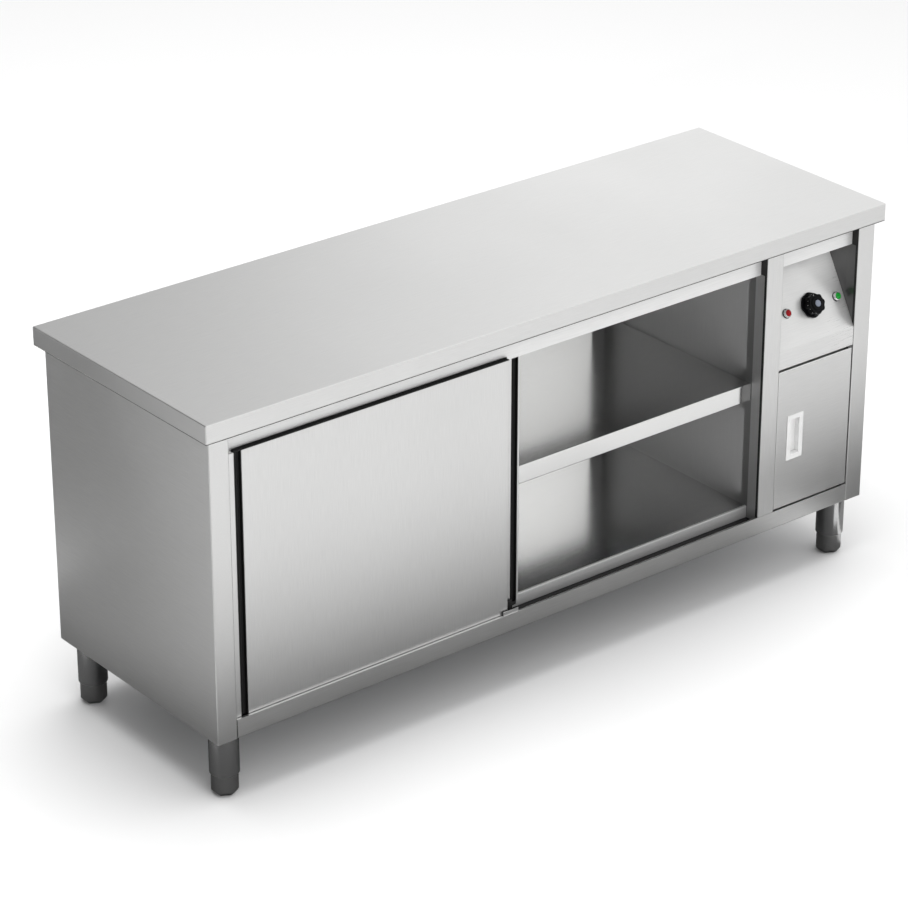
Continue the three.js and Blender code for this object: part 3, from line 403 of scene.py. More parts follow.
class Nodes:
    """A node tree, with the patterns that the finishes and the studio are made of."""

    def __init__(self, tree: bpy.types.NodeTree) -> None:
        """Takes the tree that is worked on."""
        self.tree = tree

    def fill(self, node: bpy.types.Node, inputs: Inputs) -> None:
        """Sets or links inputs of a node.

        Args:
            node: The node.
            inputs: For each input a value, or the socket that gives it.
        """
        for key, value in inputs.items():
            if isinstance(value, Socket):
                self.tree.links.new(value, node.inputs[key])
            else:
                node.inputs[key].default_value = value

    def add(self, kind: str, inputs: Inputs, output: str | int = 0, **choices: str) -> Socket:
        """Adds a node.

        Args:
            kind: Blender's name for its type.
            inputs: For each input a value, or the socket that gives it.
            output: The output that is wanted.
            **choices: Its other settings.

        Returns:
            The output.
        """
        node = self.tree.nodes.new(kind)
        for key, value in choices.items():
            setattr(node, key, value)
        self.fill(node, inputs)
        return node.outputs[output]

    def place(self, kind: str = "Object") -> Socket:
        """The coordinates that patterns lie on."""
        return self.add("ShaderNodeTexCoord", {}, kind)

    def noise(self, scale: float, stretch: Place = (1.0, 1.0, 1.0), detail: float = 4.0) -> Socket:
        """Adds a noise pattern on object coordinates.

        Args:
            scale: Marks per metre.
            stretch: How closely the marks lie along each axis.
            detail: Octaves of the noise.

        Returns:
            The pattern's value.
        """
        drawn = self.add("ShaderNodeMapping", {"Vector": self.place(), "Scale": stretch})
        return self.add("ShaderNodeTexNoise", {"Vector": drawn, "Scale": scale, "Detail": detail},
                        "Fac")

    def spread(self, source: Socket, low: float = 0.0, high: float = 1.0, start: float = 0.3,
               stop: float = 0.7, curve: str = "LINEAR") -> Socket:
        """Maps a pattern onto a range of values.

        Args:
            source: The pattern.
            low: The value at the range's start.
            high: The value at its stop.
            start: Where the range starts in the pattern.
            stop: Where it stops.
            curve: Blender's name for the way between.

        Returns:
            The values.
        """
        return self.add("ShaderNodeMapRange", {
            "Value": source, "From Min": start, "From Max": stop, "To Min": low, "To Max": high},
            interpolation_type=curve)

    def ramp(self, place: Socket, way: Place, low: float, high: float, start: float,
             stop: float) -> Socket:
        """Lets a value rise or fall smoothly along a direction.

        Args:
            place: The coordinates.
            way: The direction.
            low: The value at the start.
            high: The value at the stop.
            start: Distance along the direction where it starts.
            stop: Distance where it stops.

        Returns:
            The value.
        """
        along = self.add("ShaderNodeVectorMath", {0: place, 1: way}, "Value",
                         operation="DOT_PRODUCT")
        return self.spread(along, low, high, start, stop, "SMOOTHSTEP")

    def mixed(self, share: Socket, first: Place, second: Place) -> Socket:
        """Mixes two colours by a pattern."""
        return self.add("ShaderNodeMix", {0: share, 6: (*first, 1.0), 7: (*second, 1.0)}, 2,
                        data_type="RGBA")

    def bump(self, height: Socket, depth: float, strength: float) -> Socket:
        """Lets a pattern stand out from the surface by a depth, and show by a share of it."""
        return self.add("ShaderNodeBump", {"Height": height, "Distance": depth,
                                           "Strength": strength})


class Paint(Nodes):
    """A new material, with the shader that its patterns go into."""

    def __init__(self, name: str) -> None:
        """Makes the material.

        Args:
            name: Its name.
        """
        self.material = bpy.data.materials.new(name)
        self.material.use_nodes = True
        super().__init__(self.material.node_tree)

    def coat(self, inputs: Inputs) -> bpy.types.Material:
        """Fills the shader.

        Args:
            inputs: What goes into its inputs.

        Returns:
            The finished material.
        """
        self.fill(self.tree.nodes["Principled BSDF"], inputs)
        return self.material


@dataclass(frozen=True)
class Finish:
    """What every finish has: its name, its slot in the record and its colour."""

    name: str
    slot: str
    colour: Place

    def shade(self, share: float) -> Place:
        """The colour, made lighter or darker by a share of itself."""
        return tuple(min(1.0, part * share) for part in self.colour)

    def material(self) -> bpy.types.Material:
        """Builds the finish's material.

        Returns:
            The material.
        """
        raise NotImplementedError


@dataclass(frozen=True)
class Metal(Finish):
    """Rolled, brushed or plated metal with fine grain and faint handling marks."""

    roughness: float
    grain: Grain
    metallic: float = 1.0
    grain_scale: float = 22.0
    grain_tone: float = 0.05
    smudge: float = 0.022
    depth: float = 0.04 * MM

    def material(self) -> bpy.types.Material:
        """Builds the metal's material.

        Returns:
            The material.
        """
        paint = Paint(self.name)
        fine = paint.noise(self.grain_scale, self.grain.value, 6.0)
        marks = paint.noise(2.6, detail=5.0)
        half = self.grain_tone * 0.6
        rough = paint.add("ShaderNodeMath", {
            0: paint.spread(fine, self.roughness - half, self.roughness + half),
            1: paint.spread(marks, -self.smudge, self.smudge)}, operation="ADD")
        return paint.coat({
            "Metallic": self.metallic, "Roughness": rough,
            "Base Color": paint.mixed(paint.spread(fine), self.shade(1 - self.grain_tone),
                                      self.shade(1 + self.grain_tone)),
            "Normal": paint.bump(fine, self.depth, 0.35)})


@dataclass(frozen=True)
class Spangle(Finish):
    """Zinc coating with its crystal pattern."""

    roughness: float

    def material(self) -> bpy.types.Material:
        """Builds the coating's material.

        Returns:
            The material.
        """
        paint = Paint(self.name)
        crystals = paint.add("ShaderNodeTexVoronoi", {"Vector": paint.place(), "Scale": 140.0},
                             "Color")
        tone = paint.add("ShaderNodeSeparateColor", {"Color": crystals}, "Red")
        return paint.coat({
            "Metallic": 1.0, "Base Color": paint.mixed(tone, self.shade(0.86), self.shade(1.12)),
            "Roughness": paint.spread(tone, self.roughness - 0.08, self.roughness + 0.1, 0.0, 1.0),
            "Normal": paint.bump(paint.noise(300.0), 0.03 * MM, 0.3)})


@dataclass(frozen=True)
class Moulding(Finish):
    """Moulded plastic with a fine spark-eroded texture."""

    roughness: float
    texture: float = 0.03 * MM
    texture_scale: float = 1400.0
    gloss: float = 0.5

    def material(self) -> bpy.types.Material:
        """Builds the plastic's material.

        Returns:
            The material.
        """
        paint = Paint(self.name)
        fine = paint.noise(self.texture_scale)
        cloud = paint.noise(35.0)
        return paint.coat({
            "Specular IOR Level": self.gloss,
            "Base Color": paint.mixed(paint.spread(cloud), self.shade(0.93), self.shade(1.05)),
            "Roughness": paint.spread(fine, self.roughness - 0.06, self.roughness + 0.06),
            "Normal": paint.bump(fine, self.texture, 0.5)})


@dataclass(frozen=True)
class Lens(Finish):
    """Clear coloured plastic over a faceted reflector."""

    glow: Place

    def material(self) -> bpy.types.Material:
        """Builds the lens's material.

        Returns:
            The material.
        """
        paint = Paint(self.name)
        facets = paint.noise(420.0, detail=1.0)
        return paint.coat({
            "Roughness": 0.12, "Coat Weight": 0.05, "Specular IOR Level": 0.12,
            "Coat Roughness": 0.05,
            "Base Color": paint.mixed(paint.spread(facets), self.colour, self.glow),
            "Normal": paint.bump(facets, 0.2 * MM, 0.25)})


@dataclass(frozen=True)
class Wool(Finish):
    """Pressed mineral wool."""

    def material(self) -> bpy.types.Material:
        """Builds the wool's material.

        Returns:
            The material.
        """
        paint = Paint(self.name)
        fibres = paint.noise(90.0, (1.0, 4.0, 7.0), 8.0)
        return paint.coat({
            "Roughness": 0.95,
            "Base Color": paint.mixed(paint.spread(fibres), self.shade(0.6), self.colour),
            "Normal": paint.bump(fibres, 1.5 * MM, 0.8)})


STEEL = (0.66, 0.66, 0.655)
BRUSHED = Metal("brushed_steel", "steel", STEEL, 0.34, Grain.ALONG_X)
BRUSHED_SIDE = Metal("brushed_steel_side", "steel", STEEL, 0.34, Grain.ALONG_Y)
BRUSHED_UPRIGHT = Metal("brushed_steel_upright", "steel", STEEL, 0.34, Grain.ALONG_Z)
INNER = Metal("rolled_steel", "inner_steel", (0.78, 0.78, 0.775), 0.4, Grain.EVEN, 0.1,
              grain_tone=0.02, smudge=0.0, depth=0.01 * MM)
DECK = Metal("deck_steel", "inner_steel", (0.76, 0.76, 0.755), 0.16, Grain.ALONG_X, smudge=0.02)
SHELVED = Metal("shelf_steel", "steel", STEEL, 0.15, Grain.ALONG_X, smudge=0.02)
# Painted light: a lighter, half-matt copy of the steel that keeps the rails bright in the shade
# under the worktop's overhang.
PAINTED_LIGHT_RAIL = Metal("painted_light_rail", "steel", (0.81, 0.81, 0.805), 0.35, Grain.ALONG_X, 0.2)
# Painted shade: a darker copy of the inner steel for the deck's nose and the sill's riser, where
# the groove is in shade.
PAINTED_SHADE_FLANGE = Metal("painted_shade_flange", "inner_steel", (0.5, 0.5, 0.5), 0.34, Grain.ALONG_X, 0.4)
# Painted shade: a near-black copy of the steel for the jambs, the bay's side wall and the pivots,
# which sit in shade.
PAINTED_SHADE_SATIN = Metal("painted_shade_satin", "inner_steel", (0.14, 0.14, 0.14), 0.34, Grain.ALONG_Z)
# Painted shade: a dark copy of the inner steel for the chamber's side walls and ceiling, which sit
# in shade.
PAINTED_SHADE_CHEEK = Metal("painted_shade_cheek", "inner_steel", (0.165, 0.165, 0.165), 0.42, Grain.ALONG_Z, 0.7)
# Painted shade: a half-dark copy of the inner steel for the middle jamb.
PAINTED_SHADE_RETURN = Metal("painted_shade_return", "inner_steel", (0.34, 0.34, 0.34), 0.42, Grain.ALONG_Z, 0.7)
SATIN = Metal("satin_steel", "steel", STEEL, 0.3, Grain.ALONG_X, 0.5)
TURNED = Metal("turned_steel", "steel", (0.6, 0.6, 0.6), 0.2, Grain.ALONG_Z, grain_tone=0.015,
               smudge=0.02, depth=0.01 * MM)
CAST = Metal("cast_foot", "dark_steel", (0.5, 0.5, 0.5), 0.3, Grain.EVEN, grain_scale=30.0)
CHROME = Metal("plated_bezel", "dark_steel", (0.8, 0.8, 0.8), 0.16, Grain.EVEN, 0.6,
               grain_tone=0.01, smudge=0.01, depth=0.005 * MM)
ZINC = Spangle("zinc_plate", "galvanised", (0.58, 0.6, 0.62), 0.42)
EXTRUDED = Metal("extruded_aluminium", "aluminium", (0.7, 0.71, 0.73), 0.36, Grain.ALONG_X)
SHEATH = Metal("element_sheath", "element_sheath", (0.16, 0.15, 0.14), 0.5, Grain.EVEN,
               grain_tone=0.2)
BLACK = Moulding("black_moulding", "black_plastic", (0.003, 0.003, 0.004), 0.3, gloss=0.08)
RUBBER = Moulding("black_channel", "black_plastic", (0.006, 0.006, 0.006), 0.5, 0.05 * MM, 900.0,
                  0.35)
WHITE = Moulding("white_moulding", "white_plastic", (0.78, 0.78, 0.775), 0.35)
CAP = Moulding("grey_cap", "black_plastic", (0.2, 0.225, 0.29), 0.3)
# Partly a damping mat, partly painted shade for the shelf's underside.
DRUM_MAT_AND_SHADE = Moulding("drum_mat_and_shade", "black_plastic", (0.025, 0.025, 0.027), 0.8, 0.2 * MM, 260.0, 0.2)
# Grey dial marks that also stand in for glints on the grip: partly print, partly painted highlight.
MARKS_AND_GLINTS = Moulding("dial_marks_and_glints", "white_plastic", (0.3, 0.3, 0.3), 0.5)
RED = Lens("red_lens", "red_lens", (0.22, 0.002, 0.005), (0.4, 0.004, 0.01))
GREEN = Lens("green_lens", "green_lens", (0.006, 0.2, 0.02), (0.02, 0.4, 0.05))
WOOL = Wool("mineral_wool", "mineral_wool", (0.5, 0.4, 0.16))


class Wardrobe:
    """Keeps one material for each finish."""

    def __init__(self) -> None:
        """Starts with no materials made."""
        self.made: dict[Finish, bpy.types.Material] = {}

    def wear(self, piece: Piece, finish: Finish) -> None:
        """Gives a piece one finish all over.

        Args:
            piece: The piece.
            finish: What its surface looks like.
        """
        if finish not in self.made:
            self.made[finish] = finish.material()
        piece.data.materials.clear()
        piece.data.materials.append(self.made[finish])


WARDROBE = Wardrobe()


class Assembly:
    """A group of pieces that a maker puts together and fits to the cupboard."""

    def dress(self, piece: Piece, finish: Finish, *nodes: str, body: str = "cabinet") -> None:
        """Finishes a piece and hangs it on its body.

        Args:
            piece: The new piece.
            finish: What its surface looks like.
            *nodes: The frame's nodes that it stands for.
            body: The body that it rides on.
        """
        WARDROBE.wear(piece, finish)
        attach(piece, body)
        if nodes:
            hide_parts(*nodes)
        LOG.info("%s: %s, on %s", type(self).__name__, piece.name, body)

    def build(self) -> None:
        """Makes and dresses every piece of the assembly."""
        raise NotImplementedError


# The cupboard's planes, read from the frame
TOP_LOW, TOP_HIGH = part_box("worktop")
LEFT_LOW, LEFT_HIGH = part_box("left_side_panel")
RIGHT_LOW, RIGHT_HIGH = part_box("right_side_panel")
POST_LOW, POST_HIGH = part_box("divider_post")
LINER_LOW, LINER_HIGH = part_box("chamber_liner")
RAIL_LOW, RAIL_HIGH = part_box("top_rail")
BAY_LOW, BAY_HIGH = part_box("bay_rail")
LIP_LOW, LIP_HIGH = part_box("bottom_rail")
FLOOR_LOW, FLOOR_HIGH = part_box("chamber_floor")
SILL_LOW, SILL_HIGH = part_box("door_sill")
PANEL_LOW, PANEL_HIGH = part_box("control_panel")
SHELF_LOW, SHELF_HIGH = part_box("shelf")
GUIDE_LOW, GUIDE_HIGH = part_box("centre_guide")


@dataclass
class Worktop(Assembly):
    """The folded worktop with its return all round."""

    corner: float = 2.2 * MM
    lip: float = 15 * MM

    def build(self) -> None:
        """Makes the worktop."""
        self.dress(tray("worktop_sheet", TOP_LOW, TOP_HIGH, (0, 0, -1), SHEET, self.corner,
                        self.lip), BRUSHED, "worktop")


@dataclass
class Carcass(Assembly):
    """Side panels, posts, rails and the heated chamber."""

    flange: float = 23.5 * MM
    nose: float = 8 * MM
    seam: float = 0.3 * MM
    joint: float = 0.9 * MM
    drop: float = 1.8 * MM
    rail_lip: float = 4 * MM
    deck_nose: float = 6 * MM
    corner_return: float = 38 * MM

    def jamb(self, name: str, x: float, foot: float, finish: Finish) -> None:
        """Makes the strip that closes a post's side behind its nose, in a dark copy of the steel
        that paints its shade.

        Args:
            name: The piece's name.
            x: Its middle along the cupboard.
            foot: Its lower end.
            finish: What it looks like.
        """
        self.dress(fold_sheet(name, [(x, LEFT_LOW.y + self.nose + self.seam), (x, LINER_LOW.y)],
                              foot, LEFT_HIGH.z, Axis.Z), finish)

    def side(self, name: str, outer: float, inner: float) -> None:
        """Folds one side panel from its back flange to the front post's return.

        Args:
            name: The panel's node.
            outer: X of its outer face.
            inner: X of the post's inner face.
        """
        way = 1 if outer < inner else -1
        skin, post = outer + way * HALF, inner - way * HALF
        front, back = LEFT_LOW.y + HALF, LEFT_HIGH.y - HALF
        self.dress(fold_sheet(f"{name}_sheet", [
            (outer + way * self.flange, back), (skin, back), (skin, front), (post, front),
            (post, LEFT_LOW.y + self.nose)], LEFT_LOW.z, LEFT_HIGH.z - self.joint, Axis.Z),
            BRUSHED_SIDE, name)
        # The post's jamb is dark with painted shade.
        self.jamb(name.replace("side_panel", "jamb"), post, LEFT_LOW.z, PAINTED_SHADE_SATIN)

    def divider(self) -> None:
        """Folds the middle post with the wall of the control bay."""
        left, right = POST_LOW.x + HALF, POST_HIGH.x - HALF
        front, foot = POST_LOW.y + HALF, LIP_HIGH.z + self.joint / 2

        def lengthen(piece: Piece) -> None:
            """Draws the bay wall down behind the bottom rail.

            Args:
                piece: The folded sheet.
            """
            with editing(piece):
                pick(piece, "faces", lambda face: face.normal.z < -SQUARE_ON
                     and face.calc_center_median().y > POST_LOW.y / 2)
                extrude(0, 0, POST_LOW.z - foot)

        self.dress(fold_sheet("divider_sheet", [
            (left, POST_LOW.y + self.nose), (left, front), (right, front), (right, POST_HIGH.y)],
            foot, POST_HIGH.z - self.joint, Axis.Z, lengthen), BRUSHED_UPRIGHT, "divider_post")
        # The middle jamb is dark with painted shade.
        self.jamb("middle_jamb", left, SILL_HIGH.z, PAINTED_SHADE_RETURN)

    def rails(self) -> None:
        """Folds the rails over the doors and the bay and the rail under them."""
        # The upper rails take the lighter steel of painted light.
        for low, high, name, drop in ((RAIL_LOW, RAIL_HIGH, "top_rail", self.drop),
                                      (BAY_LOW, BAY_HIGH, "bay_rail", 0)):
            front, top = low.y + HALF, high.z - HALF - self.joint
            self.dress(fold_sheet(f"{name}_sheet", [
                (front, low.z - drop), (front, top), (high.y, top)],
                low.x + self.joint, high.x - self.joint, Axis.X), PAINTED_LIGHT_RAIL, name)
        front, foot = LIP_LOW.y + HALF, LIP_LOW.z + HALF
        start, end = LIP_LOW.x + self.joint, LIP_HIGH.x - self.joint
        self.dress(fold_sheet("bottom_rail_sheet", [
            (front, LIP_HIGH.z), (front, foot), (LIP_HIGH.y, foot)], start, end, Axis.X),
            BRUSHED, "bottom_rail")
        behind, top = LIP_LOW.y + SHEET, LIP_HIGH.z - HALF
        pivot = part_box("service_pivot_bottom")[0].x
        for name, left, right in (
                ("rail_lip_left", start, GUIDE_LOW.x - self.joint),
                ("rail_lip_right", GUIDE_HIGH.x + self.joint, pivot - self.joint)):
            self.dress(fold_sheet(name, [(behind, top), (behind + self.rail_lip, top)], left,
                                  right, Axis.X), BRUSHED)

    def chamber(self) -> None:
        """Folds the chamber's walls and floor."""
        left, right = LINER_LOW.x + HALF, LINER_HIGH.x - HALF
        foot, top, back = LINER_LOW.z, LINER_HIGH.z, LINER_HIGH.y - HALF
        inner = self.corner_return + self.seam
        self.dress(fold_sheet("chamber_back", [(left + inner, back), (right - inner, back)], foot,
                              top, Axis.Z), INNER, "chamber_liner")
        # The side walls take the dark steel of painted shade.
        for name, x, way in (("left", left, 1), ("right", right, -1)):
            self.dress(fold_sheet(f"chamber_cheek_{name}", [
                (x + way * self.corner_return, back), (x, back), (x, LINER_LOW.y)], foot, top,
                Axis.Z), PAINTED_SHADE_CHEEK)
        level, front = FLOOR_HIGH.z - HALF, FLOOR_LOW.y + HALF
        edge = FLOOR_LOW.y + self.deck_nose
        self.dress(fold_sheet("chamber_deck", [(edge + self.seam, level), (FLOOR_HIGH.y, level)],
                              FLOOR_LOW.x, FLOOR_HIGH.x, Axis.X), DECK, "chamber_floor")
        # The deck's nose is darker with painted shade.
        self.dress(fold_sheet("deck_nose", [(front, FLOOR_LOW.z), (front, level), (edge, level)],
                              FLOOR_LOW.x, FLOOR_HIGH.x, Axis.X), PAINTED_SHADE_FLANGE)

    def build(self) -> None:
        """Makes the carcass."""
        self.side("left_side_panel", LEFT_LOW.x, LEFT_HIGH.x)
        self.side("right_side_panel", RIGHT_HIGH.x, RIGHT_LOW.x)
        self.divider()
        self.rails()
        self.chamber()


@dataclass
class Seals(Assembly):
    """The thin black beads that close the joints between sheets, and paint the shade lines and dark
    notches there.
    """

    thick: float = 0.5 * MM
    lap: float = 0.6 * MM
    margin: float = 2 * MM
    depth: float = 6 * MM

    def close(self, name: str, piece: Piece) -> None:
        """Rounds a bead's edges and dresses it."""
        self.dress(settle(soften(piece, self.thick / 4), name), RUBBER)

    def bead(self, name: str, low: Place, high: Place) -> None:
        """Lays one straight bead.

        Args:
            name: The piece's name.
            low: Its lowest corner.
            high: Its highest corner.
        """
        piece = block(low, high)
        with editing(piece, whole=True):
            bpy.ops.mesh.subdivide(number_cuts=2)
        self.close(name, piece)

    def top_bead(self) -> None:
        """Lays the bead under the worktop's return, all round, whose black paints the shadow line
        under the worktop's edge.
        """
        foot = TOP_LOW.z - self.thick
        piece = block((TOP_LOW.x + self.lap, TOP_LOW.y + self.lap, foot),
                      (TOP_HIGH.x - self.lap, TOP_HIGH.y - self.lap, TOP_LOW.z))
        cut_out(piece, block((LEFT_LOW.x - MM, LEFT_LOW.y - MM, foot - MM),
                             (RIGHT_HIGH.x + MM, LEFT_HIGH.y + MM, TOP_LOW.z + MM)))
        make_outward(piece)
        self.close("worktop_bead", piece)

    def build(self) -> None:
        """Lays every bead."""
        self.top_bead()
        front, back = LEFT_LOW.y + self.margin, RAIL_LOW.y - self.lap
        foot, panel, end = LIP_HIGH.z, PANEL_LOW.z, POST_HIGH.z - self.margin
        for name, x, depth, low, high in (
                ("left_post_bead", LEFT_HIGH.x, self.depth, foot, LEFT_HIGH.z - self.margin),
                ("middle_post_bead", POST_HIGH.x, 3 * self.depth, panel, end),
                ("right_post_bead", RIGHT_LOW.x - self.thick, self.depth, panel, end),
                ("chamber_post_bead", POST_LOW.x - self.thick, self.depth, foot, end)):
            self.bead(name, (x, front, low), (x + self.thick, front + depth, high))
        # These beads paint the rails' ends black, for the shaded sides of the posts.
        for name, x, z in (("rail_end_bead", POST_LOW.x, RAIL_LOW.z),
                           ("bay_end_bead", RIGHT_LOW.x, BAY_LOW.z)):
            self.bead(name, (x - 3 * self.thick, front, z), (x, back, end))


@dataclass
class Shelf(Assembly):
    """The middle shelf, a tray with rolled lips front and back and a near-black mat under it,
    partly a damping mat and partly painted shade.
    """

    turn: float = 10 * MM
    mat: float = 3 * MM
    margin: float = 24 * MM

    def build(self) -> None:
        """Folds the shelf and lays the mat."""
        front, back = SHELF_LOW.y + HALF, SHELF_HIGH.y - HALF
        foot, top, under = SHELF_LOW.z + HALF, SHELF_HIGH.z - HALF, SHELF_HIGH.z - SHEET
        self.dress(fold_sheet("shelf_tray", [
            (front + self.turn, foot), (front, foot), (front, top), (back, top), (back, foot),
            (back - self.turn, foot)], SHELF_LOW.x, SHELF_HIGH.x, Axis.X), SHELVED, "shelf")
        # Painted shade: the mat's near-black darkens the shelf's underside that the deck reflects.
        inset = Vector((self.margin, self.margin / 2, 0))
        mat = block(Vector((*SHELF_LOW.xy, under - self.mat)) + inset,
                    Vector((*SHELF_HIGH.xy, under)) - inset)
        with editing(mat):
            pick(mat, "edges", lambda edge: abs(edge.verts[0].co.z - edge.verts[1].co.z) > MM)
            bpy.ops.mesh.bevel(offset=10 * MM, segments=4)
        self.dress(settle(soften(mat, 2 * RIM), "shelf_mat"), DRUM_MAT_AND_SHADE)


@dataclass
class CentreGuide(Assembly):
    """The bracket in the groove that keeps both doors in line."""

    rise: float = 8.4 * MM
    nose: float = 5 * MM
    strip: float = 1.6 * MM
    border: float = 2.5 * MM

    def build(self) -> None:
        """Folds the guide and lays the glide strip behind it."""
        low, high = GUIDE_LOW, GUIDE_HIGH
        front, foot = low.y + HALF, low.z + HALF
        self.dress(fold_sheet("guide_bracket", [
            (front, LIP_HIGH.z + self.rise), (front, foot), (high.y - SHEET, foot)], low.x, high.x,
            Axis.X), BRUSHED, "centre_guide")
        finger = block((low.x + MM, high.y - SHEET, low.z), (high.x - MM, high.y, high.z))
        with editing(finger):
            pick(finger, "edges", lambda edge: abs(edge.verts[0].co.y - edge.verts[1].co.y) > RIM
                 and edge.verts[0].co.z > low.z + SHEET)
            bpy.ops.mesh.bevel(offset=self.nose, segments=5)
        self.dress(settle(soften(finger, RIM), "guide_finger"), RUBBER)
        # The black glide strip also fills the groove's shade: a real strip, partly painted shade.
        strip = block((SILL_LOW.x + MM, high.y + MM, SILL_HIGH.z),
                      (SILL_HIGH.x - MM, SILL_HIGH.y - 2 * SHEET, SILL_HIGH.z + self.strip))
        with editing(strip):
            pick(strip, "faces", lambda face: face.normal.z > SQUARE_ON)
            bpy.ops.mesh.inset(thickness=self.border)
            extrude(0, 0, -self.strip / 2)
        make_outward(strip)
        self.dress(settle(soften(strip, RIM), "glide_strip"), RUBBER)


@dataclass
class SlidingDoor(Assembly):
    """One sliding door: skin, edge, inner sheet and grip channel."""

    body: str
    foot: Finish
    fin: float
    gauge: float = 1.25 * MM
    corner: float = 1.6 * MM
    wall: float = 1 * MM
    rib: float = 2 * MM
    lid: float = 1.2 * MM
    shoe: float = 8 * MM
    border: float = 2 * MM

    def shell(self, node: str, name: str) -> None:
        """Folds a pan that stands on the inner sheet."""
        pan = tray(name, *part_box(node), (0, 1, 0), self.gauge, self.corner)
        self.dress(pan, BRUSHED_UPRIGHT, node, body=self.body)

    def channel(self) -> None:
        """Draws the dark channel that fingers pull the door by, with its ribs."""
        node = f"{self.body}_grip"
        low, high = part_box(node)
        width, floor = high.x - low.x, high.y - self.wall
        piece = block(low, high)
        with editing(piece):
            pick(piece, "faces", lambda face: face.normal.y < -SQUARE_ON)
            extrude(0, 0, 0)
            bpy.ops.transform.resize(value=((width - 2 * self.wall) / width, 1, 1))
            extrude(0, floor - low.y, 0)
        ribs = [piece]
        for step in (-1, 0, 1):
            left = (low.x + high.x) / 2 + self.rib * (2 * step - 0.5)
            rib = block((left, high.y - self.wall * 2.2, low.z + MM),
                        (left + self.rib, high.y - self.wall / 2, high.z - MM))
            with editing(rib):
                pick(rib, "edges", lambda edge: edge.calc_length() > 0.1
                     and all(vert.co.y < floor for vert in edge.verts))
                bpy.ops.mesh.bevel(offset=self.rib * 0.3, segments=3)
            ribs.append(rib)
        make_outward(piece)
        name = f"{self.body}_channel"
        self.dress(settle(soften(join_pieces(name, ribs), RIM), name), RUBBER, node,
                   body=self.body)

    def profiles(self) -> None:
        """Lays the black profiles that close the door's top and foot, black also as painted shade
        between door and rail.
        """
        skin_low, skin_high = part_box(f"{self.body}_skin")
        grip_low, grip_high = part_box(f"{self.body}_grip")
        edge_low, edge_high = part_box(f"{self.body}_edge")
        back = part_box(f"{self.body}_inner")[1].y
        start, end = min(skin_low.x, grip_low.x), max(skin_high.x, grip_high.x)
        top = skin_high.z + self.lid
        if self.fin:
            for name, left, right, finish in (("fin", start, end, RUBBER),
                                              ("edge_fin", edge_low.x, edge_high.x, BRUSHED)):
                piece = block((left, back - self.lid, skin_high.z), (right, back, top + self.fin))
                self.dress(settle(soften(piece, self.lid / 4, 3), f"{self.body}_{name}"), finish,
                           body=self.body)
        for name, low, high, way, finish in (
                ("cap", skin_high.z, top, 1, RUBBER),
                ("shoe", skin_low.z - self.shoe, skin_low.z, -1, self.foot)):
            piece = block((start, skin_low.y + RIM, low), (end, back - self.lid, high))
            with editing(piece):
                pick(piece, "faces", lambda face: face.normal.z * way > SQUARE_ON)
                bpy.ops.mesh.inset(thickness=self.border)
                extrude(0, 0, -way * self.lid / 3)
            make_outward(piece)
            self.dress(settle(soften(piece, RIM / 2), f"{self.body}_{name}"), finish,
                       body=self.body)

    def build(self) -> None:
        """Makes the door."""
        self.shell(f"{self.body}_skin", f"{self.body}_face")
        self.shell(f"{self.body}_edge", f"{self.body}_border")
        self.channel()
        self.profiles()


